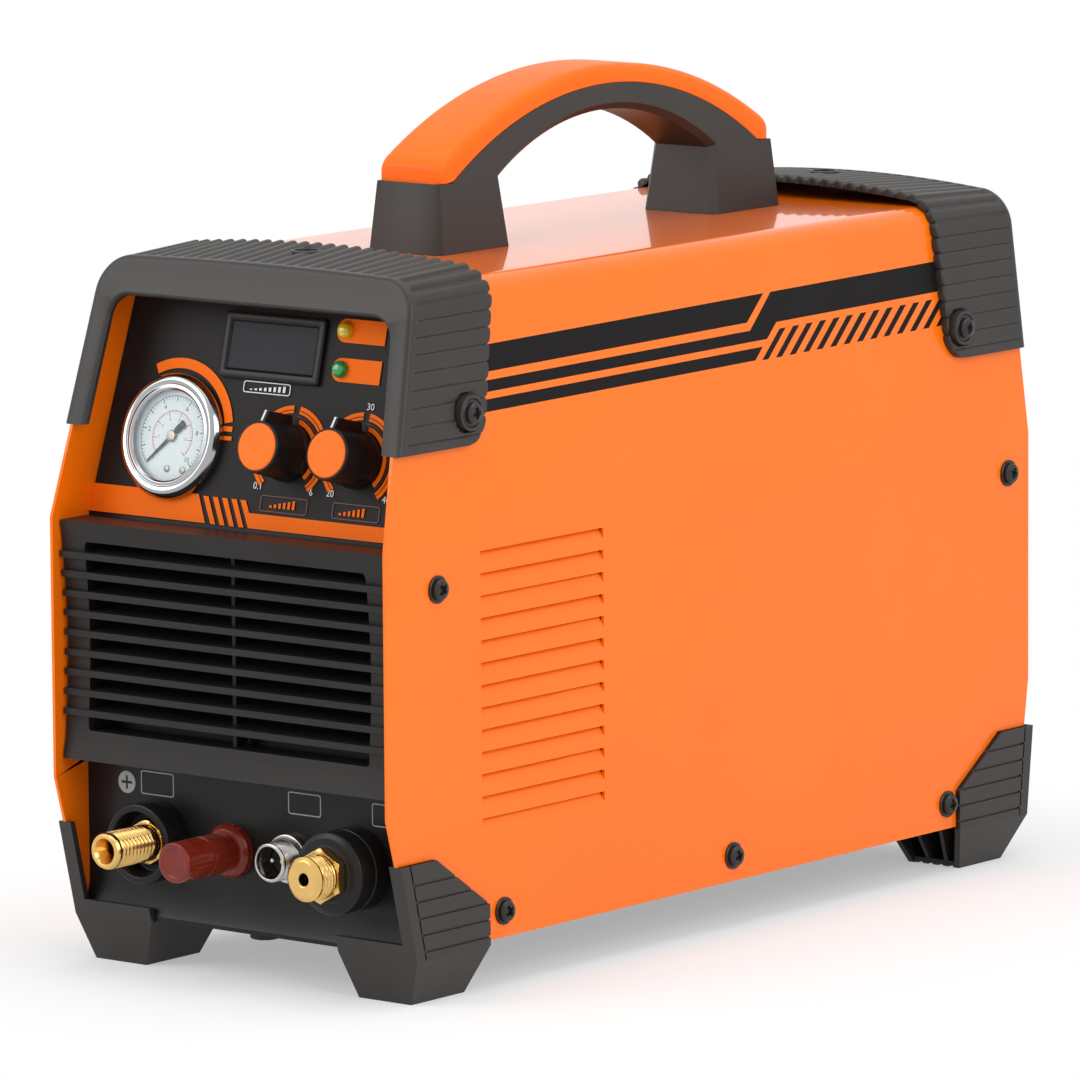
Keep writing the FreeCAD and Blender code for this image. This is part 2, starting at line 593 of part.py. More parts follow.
def section(grow, bottom):
    """Corners of the cover's cross-section, grown outward by a distance."""
    top = "cover_top + (%s)" % grow
    edge = leaning(top, grow)
    return [("-(half_width + (%s))" % grow, bottom), ("half_width + (%s)" % grow, bottom),
            ("half_width + (%s)" % grow, "shoulder_height"), (edge, top, "roof_corner + (%s)" % grow),
            ("-(%s)" % edge, top, "roof_corner + (%s)" % grow),
            ("-(half_width + (%s))" % grow, "shoulder_height")]


def side_shape(grow, bottom, top):
    """Corners of the cover seen from the side; its edges step back behind the guards' rims."""
    front_top = "front_upper_slope * (%s - shoulder_height) + guard_wall" % top
    rear_top = "case_depth - rear_upper_slope * (%s - shoulder_height) - guard_wall" % top
    rear_step = "case_depth - rear_upper_slope * (guard_bottom - shoulder_height)"
    return [("front_lower_slope * (knee_height - %s) - (%s)" % (bottom, grow), bottom),
            ("case_depth - rear_lower_slope * (knee_height - %s) + (%s)" % (bottom, grow), bottom),
            ("case_depth + (%s)" % grow, "knee_height"), ("case_depth + (%s)" % grow, "shoulder_height"),
            ("%s + (%s)" % (rear_step, grow), "guard_bottom"),
            ("%s - guard_wall + (%s)" % (rear_step, grow), "guard_bottom"),
            ("%s + (%s)" % (rear_top, grow), top), ("%s - (%s)" % (front_top, grow), top),
            ("rim_front + guard_wall - (%s)" % grow, "guard_bottom"),
            ("rim_front - (%s)" % grow, "guard_bottom"),
            ("-(%s)" % grow, "shoulder_height"), ("-(%s)" % grow, "knee_height")]


# The room that the cover takes up, with the seat clearance round it
envelope = body("case_envelope", placed=False)
drawing = sketch(envelope, "front", "-seat_gap - 2")
outline(drawing, section("seat_gap", "cover_bottom - seat_gap"))
pad(envelope, drawing, "case_depth + 4", "back")
trim(envelope, "side", side_shape("seat_gap", "(cover_bottom - seat_gap)", "(cover_top + 10)"))



def fit_to_cover(label, block):
    """Cut the cover's room out of a block and make the result a piece of the unit."""
    cut = doc.addObject("Part::Cut", label)
    cut.Label = label
    cut.Base = block
    cut.Tool = envelope
    cut.setExpression("Placement.Base.y", bound(BACK))
    PIECES.append(cut)


SIDE_SCREWS = [("front_screw_depth", "front_screw_height"), ("low_front_screw", "low_screw_height"),
               ("low_middle_screw", "low_screw_height"),
               ("case_depth - low_rear_screw_inset", "low_screw_height"),
               ("case_depth - rear_screw_inset", "rear_screw_height")]
GUARD_SCREWS = [("guard_screw_depth", "guard_screw_height"),
                ("case_depth - guard_screw_inset", "guard_screw_height")]


def screw_holes(piece, spots):
    """Drill the case screws' holes through both sides of a piece."""
    drawing = sketch(piece, "side")
    for deep, up in spots:
        ring(drawing, deep, up, "screw_radius + screw_hole_gap")
    pocket(piece, drawing, way="both")


# Cover: one folded sheet, with its edges cut to shape and pressed louvres
cover = body("cover")
drawing = sketch(cover, "front", "0")
outer = section("0", "cover_bottom")
inner = section("-sheet", "cover_bottom")
outline(drawing, outer[1:] + outer[:1] + inner[:1] + inner[:0:-1])
pad(cover, drawing, "case_depth", "back")
trim(cover, "side", side_shape("0", "cover_bottom", "(cover_top + 10)"))
screw_holes(cover, SIDE_SCREWS + GUARD_SCREWS)
drawing = sketch(cover, "side")
box_outline(drawing, "louvre_front", "louvre_low", "louvre_front + louvre_length", "louvre_low + louvre_rise")
slot = pocket(cover, drawing, way="both")
spread(cover, slot, "Z_Axis", "louvre_pitch * (louvre_count - 1)", "louvre_count")
drawing = sketch(cover, "front", "louvre_front + seat_gap")
for side in ("", "-"):
    flat = side + "(half_width - %s)"
    outline(drawing, [(flat % "0", "louvre_low - sheet"), (flat % "0", "louvre_low"),
                      (flat % "louvre_push", "louvre_low + louvre_rise"),
                      (flat % "(louvre_push + sheet * 0.8)", "louvre_low + louvre_rise"),
                      (flat % "sheet", "louvre_low"), (flat % "sheet", "louvre_low - sheet")])
tongue = pad(cover, drawing, "louvre_length - 2 * seat_gap", "back")
spread(cover, tongue, "Z_Axis", "louvre_pitch * (louvre_count - 1)", "louvre_count")

# Base tray: floor with side flanges that the bottom screws hold
tray = body("base_tray")
drawing = sketch(tray, "front", "lip_inset + seat_gap")
half = "(inner_half - seat_gap)"
tray_top = "cover_bottom + tray_flange"
outline(drawing, [("-" + half, "cover_bottom"), (half, "cover_bottom"), (half, tray_top),
                  (half + " - sheet", tray_top), (half + " - sheet", "floor_top"),
                  ("-(%s - sheet)" % half, "floor_top"), ("-(%s - sheet)" % half, tray_top),
                  ("-" + half, tray_top)])
pad(tray, drawing, "rear_face - lip_inset - 4 * sheet - seat_gap", "back")
screw_holes(tray, SIDE_SCREWS[1:4])
drawing = sketch(tray, "front", "lip_inset")
box_outline(drawing, "-half_width", "floor_top + 0.01", "half_width", "tray_flange + knee_height")
pocket(tray, drawing, "panel_flange + 8", "back")
drawing = sketch(tray, "top", "cover_bottom - 1")
ring(drawing, "0", "plug_inset", "plug_radius / 2 + seat_gap")
pocket(tray, drawing, "sheet + 2", "out")


def inside_half(height):
    """Half width of the room inside the cover at a height above the shoulder."""
    return leaning(height, "-sheet - seat_gap")


def end_panel_trim(piece, bottom, top):
    """Cut an end panel to the inside of the cover."""
    trim(piece, "front", [("-inner_half", bottom), ("inner_half", bottom), ("inner_half", "shoulder_height"),
                          (inside_half(top), top, "roof_corner - sheet"),
                          ("-(%s)" % inside_half(top), top, "roof_corner - sheet"),
                          ("-inner_half", "shoulder_height")])


def slope_at(height, back):
    """Depth of the control face at a height, moved back by a distance."""
    return "face_inset + face_slope * ((%s) - shoulder_height) + (%s)" % (height, back)


# Front panel: connector face below, sloping control face above, side flanges behind
front_panel = body("front_panel")
panel_top = "(cover_top - sheet - seat_gap)"
skin = "overlay / face_cos"
front_line = [("lip_inset", "panel_bottom"), ("lower_inset", "lip_height"), ("lower_inset", "bend_height"),
              (slope_at(panel_top, skin), panel_top)]
back_line = [("lip_inset + sheet", "panel_bottom"), ("lower_inset + sheet", "lip_height"),
             ("lower_inset + sheet", "bend_height"), (slope_at(panel_top, skin + " + sheet / face_cos"),
                                                      panel_top)]
drawing = sketch(front_panel, "side")
outline(drawing, front_line + back_line[::-1])
pad(front_panel, drawing, "2 * inner_half", "both")
drawing = sketch(front_panel, "side")
flange_foot = "cover_bottom + tray_flange + 2"
outline(drawing, [("lower_inset", flange_foot), ("lower_inset + panel_flange", flange_foot),
                  ("lower_inset + panel_flange", "bend_height"), ("lower_inset", "bend_height")])
pad(front_panel, drawing, "2 * inner_half", "both")
drawing = sketch(front_panel, "front", "lower_inset + sheet")
box_outline(drawing, "-(inner_half - sheet)", "0", "inner_half - sheet", "cover_top")
pocket(front_panel, drawing, "panel_flange + 5", "back")
drawing = sketch(front_panel, "side")
outline(drawing, front_line + back_line[::-1])
pad(front_panel, drawing, "2 * inner_half", "both")
end_panel_trim(front_panel, "panel_bottom", panel_top)
screw_holes(front_panel, SIDE_SCREWS[:1])
drawing = face_sketch(front_panel)
ring(drawing, "gauge_across", "gauge_along", "gauge_case_radius + seat_gap")
ring(drawing, "left_knob_across", "knob_along", "bushing_radius + seat_gap")
ring(drawing, "right_knob_across", "knob_along", "bushing_radius + seat_gap")
ring(drawing, "lamp_across", "warning_along", "lamp_radius + seat_gap")
ring(drawing, "lamp_across", "power_along", "lamp_radius + seat_gap")
WINDOW = ("display_left + display_frame / 2", "display_low + display_frame / 2",
          "display_right - display_frame / 2", "display_high - display_frame / 2")
box_outline(drawing, *WINDOW)
pocket(front_panel, drawing, "8", "back")
drawing = sketch(front_panel, "front", "lower_inset - 1")
ring(drawing, "left_port_across", "port_height", "left_cup_radius - 2.2")
ring(drawing, "right_port_across", "port_height", "right_disc_radius - 2.2")
ring(drawing, "terminal_across", "port_height", "stud_radius + 2.2")
ring(drawing, "socket_across", "port_height", "socket_radius - 0.5")
box_outline(drawing, "-(inner_half - grille_side)", "grille_bottom + grille_lower_band",
            "inner_half - grille_side", "bend_height - 2")
pocket(front_panel, drawing, "10", "back")

# Control overlay: printed film on the sloping face
overlay = body("control_overlay")
film_top = "(cover_top - film_drop)"
drawing = face_sketch(overlay)
outline(drawing, [("-(inner_half - seat_gap)", "0"), ("inner_half - seat_gap", "0"),
                  (inside_half(film_top) + " - seat_gap", "(%s - shoulder_height) / face_cos" % film_top),
                  ("-(%s - seat_gap)" % inside_half(film_top),
                   "(%s - shoulder_height) / face_cos" % film_top)])
ring(drawing, "gauge_across", "gauge_along", "gauge_case_radius + seat_gap")
ring(drawing, "left_knob_across", "knob_along", "bushing_radius + seat_gap")
ring(drawing, "right_knob_across", "knob_along", "bushing_radius + seat_gap")
ring(drawing, "lamp_across", "warning_along", "lamp_radius + seat_gap")
ring(drawing, "lamp_across", "power_along", "lamp_radius + seat_gap")
box_outline(drawing, *WINDOW)
pad(overlay, drawing, "overlay", "back")

# Front grille: hollow-faced frame with bars whose blades climb to the rear
grille = body("front_grille")
grille_front = "(lower_inset - grille_proud)"
mid_height = "((grille_bottom + grille_top) / 2)"
half_height = "((grille_top - grille_bottom) / 2)"
sag_radius = "((%s * %s + grille_hollow * grille_hollow) / (2 * grille_hollow))" % (half_height, half_height)
drawing = sketch(grille, "side")
outline(drawing, [(grille_front, "grille_bottom"), ("lower_inset", "grille_bottom"),
                  ("lower_inset", "grille_top"),
                  (grille_front, "grille_top")], {3: "-" + sag_radius})
pad(grille, drawing, "2 * (inner_half - 0.7)", "both")
opening_half = "(inner_half - 0.7 - grille_side)"
drawing = sketch(grille, "front")
box_outline(drawing, "-" + opening_half, "grille_bottom + grille_lower_band", opening_half,
            "grille_top - grille_upper_band", "1.5")
pocket(grille, drawing, way="both")
open_low = "(grille_bottom + grille_lower_band)"
open_span = "(grille_top - grille_upper_band - grille_bottom - grille_lower_band)"
drawing = sketch(grille, "side")
NOSES = []
for number in range(int(value("bar_count"))):
    height = "(%s + %s * (%d + 0.5) / bar_count)" % (open_low, open_span, number)
    offset = "((%s - %s) / %s)" % (height, mid_height, half_height)
    nose = "(%s + grille_hollow * (1 - %s * %s))" % (grille_front, offset, offset)
    NOSES.append((nose, height))
    outline(drawing, [(nose + " - bar_proud", height + " - bar_nose / 2"),
                      (nose + " + 2.0", height + " - bar_nose / 2"),
                      (nose + " + bar_depth", height + " + bar_climb - bar_blade"),
                      (nose + " + bar_depth", height + " + bar_climb"),
                      (nose + " + 2.0", height + " + bar_nose / 2"),
                      (nose + " - bar_proud", height + " + bar_nose / 2")])
pad(grille, drawing, "2 * (inner_half - 0.7)", "both")
drawing = sketch(grille, "front", "lower_inset - 1.5")
box_outline(drawing, "-mullion / 2", open_low + " - 1", "mullion / 2", "grille_top - grille_upper_band + 1")
pad(grille, drawing, "bar_depth - 3", "out")

# Guards: ribbed mouldings over the upper front and rear edges of the cover


def guard(label, top_line, tail, side_ends, rib_ends, screw, hole):
    """Mould a guard from its top line, its bowed inner edge and the room that the cover takes."""
    block = body(label + "_block", placed=False)
    loft = []
    for deep in rib_ends["span"]:
        drawing = sketch(block, "front", deep)
        top = top_line(deep)
        wide = leaning(top, "guard_wall")
        low = leaning("guard_bottom", "guard_wall")
        outline(drawing, [("-(%s)" % low, "guard_bottom"), (low, "guard_bottom"), (wide, top, "guard_corner"),
                          ("-(%s)" % wide, top, "guard_corner")])
        drawing.Visibility = False
        loft.append(drawing)
    shell = block.newObject("PartDesign::AdditiveLoft", "Shell")
    shell.Profile = loft[0]
    shell.Sections = loft[1:]
    shell.Ruled = True
    drawing = sketch(block, "front")
    open_half = leaning("guard_opening_top", "guard_wall - guard_rim")
    low_half = leaning("guard_bottom - 2", "guard_wall - guard_rim")
    outline(drawing, [("-(%s)" % low_half, "guard_bottom - 2"), (low_half, "guard_bottom - 2"),
                      (open_half, "guard_opening_top", "guard_opening_corner"),
                      ("-(%s)" % open_half, "guard_opening_top", "guard_opening_corner")])
    pocket(block, drawing, way="both")
    drawing = sketch(block, "side")
    outline(drawing, tail["gap"])
    pocket(block, drawing, "2 * (roof_half - roof_corner)", "both")
    trim(block, "side", side_ends)
    trim(block, "top", tail["plan"], tail["bow"])
    for groove in range(int(value("side_rib_count"))):
        height = "(side_rib_low + side_rib_pitch * %d)" % groove
        drawing = sketch(block, "front", rib_ends["side"])
        for side in ("", "-"):
            deep_in = "%s(%s)" % (side, leaning(height, "guard_wall - rib_depth"))
            clear = "%s(half_width + guard_wall + 5)" % side
            outline(drawing, [(deep_in, height + " - rib_groove / 2"), (clear, height + " - rib_groove / 2"),
                              (clear, height + " + rib_groove / 2"), (deep_in, height + " + rib_groove / 2")])
        pocket(block, drawing, "case_depth / 4", rib_ends["way"])
    drawing = sketch(block, "side")
    ring(drawing, screw[0], screw[1], "guard_boss_radius")
    pad(block, drawing, "2 * (half_width + 0.2)", "both")
    drawing = sketch(block, "side")
    ring(drawing, screw[0], screw[1], "screw_radius + screw_hole_gap")
    pocket(block, drawing, way="both")
    drawing = sketch(block, "top", "cover_top - 5")
    ring(drawing, "0", hole, "guard_hole_radius")
    pocket(block, drawing, "40", "out")
    drawing = sketch(block, "side", "-top_rib_span / 2")
    outline(drawing, rib_ends["top"])
    groove = pocket(block, drawing, "rib_groove", "both")
    spread(block, groove, "X_Axis", "top_rib_span", "top_rib_count")
    fit_to_cover(label, block)


def front_top(deep):
    """Height of the front guard's top at a depth."""
    return "(front_guard_top + front_guard_rise * ((%s) - rim_top))" % deep


def rear_top(deep):
    """Height of the rear guard's top at a depth."""
    return "(rear_guard_top + rear_guard_rise * (case_depth - (%s)))" % deep


def bowed_plan(edge, far):
    """Plan of a guard: a straight far side and an inner edge that bows at the centre."""
    return [("-plan_half", far), ("plan_half", far), ("plan_half", edge), ("-plan_half", edge)]


rim_top_front = "front_upper_slope * (%s - shoulder_height)"
guard("front_guard", front_top,
      {"gap": [("rim_front + 30", "cover_top - 1"), ("front_end + 3", "cover_top - 1"),
               ("front_end + 3", front_top("front_end + 3") + " - guard_wall"),
               ("rim_front + 30", front_top("rim_front + 30") + " - guard_wall")],
       "plan": bowed_plan("front_guard_depth", "-30"), "bow": {2: "bow_radius"}},
      [("rim_front", "guard_bottom"), ("front_guard_depth", "guard_bottom", "guard_foot_radius"),
       ("front_guard_depth", "(guard_bottom + cover_top) / 2"), ("front_end", "cover_top - 6"),
       ("front_end + 3", "cover_top + 40"), (rim_top_front % "(cover_top + 40)", "cover_top + 40")],
      {"span": ("-5", "front_end + 5"), "side": "rim_front + rib_start", "way": "back",
       "top": [("rim_front + rib_start + 12", front_top("rim_front + rib_start + 12") + " - rib_depth"),
               ("front_end + 6", front_top("front_end + 6") + " - rib_depth"),
               ("front_end + 6", "cover_top + 30"), ("rim_front + rib_start + 12", "cover_top + 30")]},
      GUARD_SCREWS[0], "guard_screw_depth + 4")

rear_rim = "(case_depth - rear_upper_slope * (guard_bottom - shoulder_height))"
guard("rear_guard", rear_top,
      {"gap": [("rear_start - 3", "cover_top - 1"), (rear_rim + " - 8", "cover_top - 1"),
               (rear_rim + " - 8", rear_top(rear_rim + " - 8") + " - guard_wall"),
               ("rear_start - 3", rear_top("rear_start - 3") + " - guard_wall")],
       "plan": bowed_plan("case_depth - rear_guard_depth", "case_depth + 30"), "bow": {2: "-bow_radius"}},
      [("case_depth - rear_guard_depth + 10", "guard_bottom", "guard_foot_radius"),
       (rear_rim, "guard_bottom"),
       ("case_depth - rear_upper_slope * (cover_top + 40 - shoulder_height)", "cover_top + 40"),
       ("rear_start - 3", "cover_top + 40"), ("rear_start", "cover_top + 2"),
       ("case_depth - rear_guard_depth - 4", "cover_top - 14")],
      {"span": ("rear_start - 5", "case_depth + 5"), "side": "case_depth - 12", "way": "out",
       "top": [("rear_start - 6", rear_top("rear_start - 6") + " - rib_depth"),
               (rear_rim + " - rib_start", rear_top(rear_rim + " - rib_start") + " - rib_depth"),
               (rear_rim + " - rib_start", "cover_top + 30"), ("rear_start - 6", "cover_top + 30")]},
      GUARD_SCREWS[1], "case_depth - guard_screw_inset + 20")


# Handle: moulded arch on two legs with a coloured cap and two oval plugs set into the cap
near = "(handle_centre - (%s))"
far = "(handle_centre + (%s))"
leg_top = "handle_inner_span + handle_inner_lean"
spring = "(arch_centre + sqrt(handle_arch_radius * handle_arch_radius - (%s) * (%s)))" % (leg_top, leg_top)
leg_shelf = "handle_half_span - handle_leg_lean"
roof = "cover_top + seat_gap"


def handle_sides(piece, top):
    """Draw the handle's sides in from the roof to the joint line."""
    wide, neck = "handle_width / 2", "handle_neck_width / 2"
    trim(piece, "front", [("-" + wide, roof), (wide, roof), (neck, "handle_shelf"), (neck, top),
                          ("-" + neck, top), ("-" + neck, "handle_shelf")])


handle_base = body("handle_base")
drawing = sketch(handle_base, "side")
outline(drawing, [(near % "handle_half_span", roof), (near % "handle_inner_span", roof),
                  (near % leg_top, spring), (far % leg_top, spring),
                  (far % "handle_inner_span", roof), (far % "handle_half_span", roof),
                  (far % leg_shelf, "handle_shelf"), (far % "joint_reach", "handle_shelf"),
                  (near % "joint_reach", "handle_shelf"), (near % leg_shelf, "handle_shelf")],
        {2: "-handle_arch_radius", 7: "cap_lower_radius"})
pad(handle_base, drawing, "handle_width", "both")
handle_sides(handle_base, "handle_top + 5")

# The cap is turned about the centre of its top's arc, then cut to the joint line and to its ends
grip = body("handle_grip")
drawing = sketch(grip, "front", "handle_centre")
neck = "handle_neck_width / 2"
outline(drawing, [("-" + neck, "cap_upper_centre + cap_upper_radius / 2"),
                  (neck, "cap_upper_centre + cap_upper_radius / 2"),
                  (neck, "handle_top", "cap_round"), ("-" + neck, "handle_top", "cap_round")])
height = value("cap_upper_centre")
axis = drawing.addGeometry(Part.LineSegment(Vector(-10, height, 0), Vector(10, height, 0)), True)
bind(drawing, [Sketcher.Constraint("DistanceX", -1, 1, axis, 1, -10.0),
               Sketcher.Constraint("DistanceX", -1, 1, axis, 2, 10.0),
               Sketcher.Constraint("DistanceY", -1, 1, axis, 1, height),
               Sketcher.Constraint("Horizontal", axis)],
     [(2, "cap_upper_centre")])
sweep = grip.newObject("PartDesign::Revolution", "Turned")
sweep.Profile = drawing
sweep.ReferenceAxis = (drawing, ["Axis0"])
sweep.Angle = 360
drawing.Visibility = False
trim(grip, "side", [(near % "cap_end", "handle_shelf"), (near % "joint_reach", "handle_shelf"),
                    (far % "joint_reach", "handle_shelf"), (far % "cap_end", "handle_shelf"),
                    (far % "cap_end", "handle_top + 5"), (near % "cap_end", "handle_top + 5")],
     {1: "-cap_lower_radius"})


def cap_sketch(piece, out, turn):
    """Start a sketch square to the cap's arc, at a distance out from its centre and an angle from upright."""
    drawing = sketch(piece, "top")
    drawing.setExpression("AttachmentOffset", bound(
        "placement(vector(0; handle_centre - (%s) * sin(%s * 1 deg);"
        " cap_upper_centre + (%s) * cos(%s * 1 deg)); vector(1; 0; 0); %s * 1 deg)"
        % (out, turn, out, turn, turn)))
    return drawing


plugs = body("handle_plugs")
for turn in ("plug_tilt", "(-plug_tilt)"):
    drawing = cap_sketch(grip, "(cap_upper_radius + 3)", turn)
    box_outline(drawing, "-plug_width / 2", "-plug_length / 2", "plug_width / 2", "plug_length / 2",
                "plug_width / 2 - 0.01")
    pocket(grip, drawing, "3 + plug_depth")
    drawing = cap_sketch(plugs, "(cap_upper_radius - plug_depth + 0.02)", turn)
    box_outline(drawing, "seat_gap - plug_width / 2", "seat_gap - plug_length / 2",
                "plug_width / 2 - seat_gap",
                "plug_length / 2 - seat_gap", "plug_width / 2 - seat_gap - 0.01")
    pad(plugs, drawing, "plug_depth - 0.4")

# Feet: hollow corner mouldings that wrap the lower corners of the case


def foot(label, side, corners, low, high):
    """Mould a foot from its side outline and the ends of its hollow underside, on one side of the case."""
    block = body(label + "_block", placed=False)
    out = "(half_width + foot_wall)"
    drawing = sketch(block, "side", side + out)
    outline(drawing, corners)
    pad(block, drawing, "foot_width", "back" if side == "" else "out")
    drawing = sketch(block, "front")
    outline(drawing, [(side + "(%s + 1)" % out, "cover_bottom"), (side + out, "cover_bottom"),
                      (side + "(%s - foot_taper * (cover_bottom + 1) / cover_bottom)" % out, "-1"),
                      (side + "(%s + 1)" % out, "-1")])
    pocket(block, drawing, way="both")
    drawing = sketch(block, "front")
    box_outline(drawing, side + "(%s - foot_width - 1)" % out, "foot_face_height",
                side + "(half_width - foot_lip)",
                "foot_top + 1")
    pocket(block, drawing, way="both")
    drawing = sketch(block, "side", "%s(%s - foot_width)" % (side, out))
    cell = "((%s - %s - foot_skin * (foot_cells + 1)) / foot_cells)" % (high, low)
    for number in range(int(value("foot_cells"))):
        start = "%s + foot_skin * %d + %s * %d" % (low, number + 1, cell, number)
        box_outline(drawing, start, "foot_skin", "%s + %s" % (start, cell),
                    "cover_bottom - seat_gap - foot_skin", "1.2")
    pocket(block, drawing, "foot_width - foot_taper - foot_skin", "out" if side == "" else "back")
    drawing = sketch(block, "front")
    box_outline(drawing, side + "(%s - foot_groove)" % out, "foot_groove_low - 0.8", side + "(%s + 2)" % out,
                "foot_groove_low + 0.8")
    groove = pocket(block, drawing, way="both")
    spread(block, groove, "Z_Axis", "foot_groove_pitch * (foot_groove_count - 1)", "foot_groove_count")
    fit_to_cover(label, block)


for side_name, side in (("left", "-"), ("right", "")):
    foot("front_%s_foot" % side_name, side,
         [("front_foot_toe", "0"), ("front_foot_heel", "0"), ("front_foot_back", "foot_heel_rise"),
          ("front_foot_back", "foot_back_height", "5"), ("front_foot_peak", "foot_top - 1", "4"),
          ("front_lower_slope * (knee_height - foot_top) - 0.8", "foot_top"),
          ("front_lower_slope * (knee_height - cover_bottom) - 0.8", "cover_bottom")],
         "front_foot_toe", "front_foot_heel")
    foot("rear_%s_foot" % side_name, side,
         [("case_depth - rear_foot_toe", "0"), ("case_depth - rear_foot_heel", "0"),
          ("case_depth - 2.4", "cover_bottom"),
          ("case_depth + 1.4", "foot_top - 1.8"), ("case_depth - rear_foot_peak", "foot_top - 1.4", "4"),
          ("case_depth - rear_foot_back", "foot_back_height", "5"),
          ("case_depth - rear_foot_back + 0.7", "cover_bottom")],
         "(case_depth - rear_foot_toe)", "(case_depth - rear_foot_heel)")

# Rubber plug that closes the tray's drain hole
plug = body("base_plug")
place(plug, "0", "plug_inset", "cover_bottom", "0 deg")
turned(plug, [("0", "-plug_drop"), ("plug_radius", "-plug_drop", "0.8"), ("plug_radius", "0"),
              ("plug_radius / 2", "0"),
              ("plug_radius / 2", "sheet + 1"), ("0", "sheet + 1")])

# Pressure gauge: cup, dial, needle, glass and bezel, drawn about the gauge's axis
gauge_case = body("gauge_case")
on_face(gauge_case, "gauge_across", "gauge_along")
bore = "needle_pin_radius + turn_gap"
turned(gauge_case, [("0", "-gauge_case_depth - 12"), ("5", "-gauge_case_depth - 12"),
                    ("5", "-gauge_case_depth"),
                    ("gauge_case_radius", "-gauge_case_depth"), ("gauge_case_radius", "gauge_proud - 1.4"),
                    ("gauge_case_radius - gauge_wall", "gauge_proud - 1.4"),
                    ("gauge_case_radius - gauge_wall", "dial_face - 0.6"), (bore, "dial_face - 0.6"),
                    (bore, "dial_face - 4"), ("0", "dial_face - 4")])
gauge_bezel = body("gauge_bezel")
on_face(gauge_bezel, "gauge_across", "gauge_along")
turned(gauge_bezel, [("gauge_case_radius + seat_gap", "seat_gap"), ("gauge_radius", "seat_gap"),
                     ("gauge_radius", "gauge_proud - 1.2", "1.0"),
                     ("gauge_radius - 1.8", "gauge_proud", "0.8"),
                     ("gauge_view_radius + 0.9", "gauge_proud", "0.4"),
                     ("gauge_view_radius", "gauge_proud - 0.9"),
                     ("gauge_case_radius + seat_gap", "gauge_proud - 0.9")])
gauge_dial = body("gauge_dial")
on_face(gauge_dial, "gauge_across", "gauge_along")
dial_edge = "gauge_case_radius - gauge_wall - seat_gap"
turned(gauge_dial, [(bore, "dial_face - 0.6"), (dial_edge, "dial_face - 0.6"), (dial_edge, "dial_face"),
                    (bore, "dial_face")])
needle = body("gauge_needle")
on_face(needle, "gauge_across", "gauge_along")
turned(needle, [("0", "dial_face - 3.6"), ("needle_pin_radius", "dial_face - 3.6"),
                ("needle_pin_radius", "dial_face + 0.3"), ("needle_hub_radius", "dial_face + 0.3"),
                ("needle_hub_radius", "dial_face + 0.9", "0.3"), ("0", "dial_face + 0.9")])
drawing = sketch(needle, "top", "dial_face + 0.35")
reach = "-needle_length * 0.7071"
outline(drawing, [(reach, reach), ("0.55", "-0.55"), ("4.2", "3.2"), ("3.2", "4.2"), ("-0.55", "0.55")])
pad(needle, drawing, "0.4")
gauge_lens = body("gauge_lens")
on_face(gauge_lens, "gauge_across", "gauge_along")
turned(gauge_lens, [("0", "gauge_proud - 1 - gauge_glass"), (dial_edge, "gauge_proud - 1 - gauge_glass"),
                    (dial_edge, "gauge_proud - 1"), ("0", "gauge_proud - 1")])

# Display: bezel with a sunk window, its housing behind the panel
bezel = body("display_bezel")
on_face(bezel, "0", "0")
drawing = sketch(bezel, "top", "0")
box_outline(drawing, "display_left", "display_low", "display_right", "display_high", "1.2")
box_outline(drawing, "display_left + display_frame", "display_low + display_frame",
            "display_right - display_frame",
            "display_high - display_frame")
pad(bezel, drawing, "display_proud")
drawing = sketch(bezel, "top", "-9")
inset = " %s (display_frame / 2 + seat_gap)"
box_outline(drawing, "display_left" + inset % "+", "display_low" + inset % "+", "display_right" + inset % "-",
            "display_high" + inset % "-")
box_outline(drawing, "display_left + display_frame", "display_low + display_frame",
            "display_right - display_frame",
            "display_high - display_frame")
pad(bezel, drawing, "9")
window = body("display_window")
on_face(window, "0", "0")
drawing = sketch(window, "top", "display_proud - 3.2")
box_outline(drawing, "display_left + display_frame + seat_gap", "display_low + display_frame + seat_gap",
            "display_right - display_frame - seat_gap", "display_high - display_frame - seat_gap")
pad(window, drawing, "2.4")

# Indicator lamps
for label, along in (("warning_lamp", "warning_along"), ("power_lamp", "power_along")):
    lamp = body(label)
    on_face(lamp, "lamp_across", along)
    turned(lamp, [("0", "-6"), ("lamp_radius + 0.4", "-6"),
                  ("lamp_radius + 0.4", "-overlay - sheet - seat_gap"),
                  ("lamp_radius", "-overlay - sheet - seat_gap"), ("lamp_radius", "1"),
                  ("0", "1 + lamp_radius")],
           {4: "lamp_radius"})

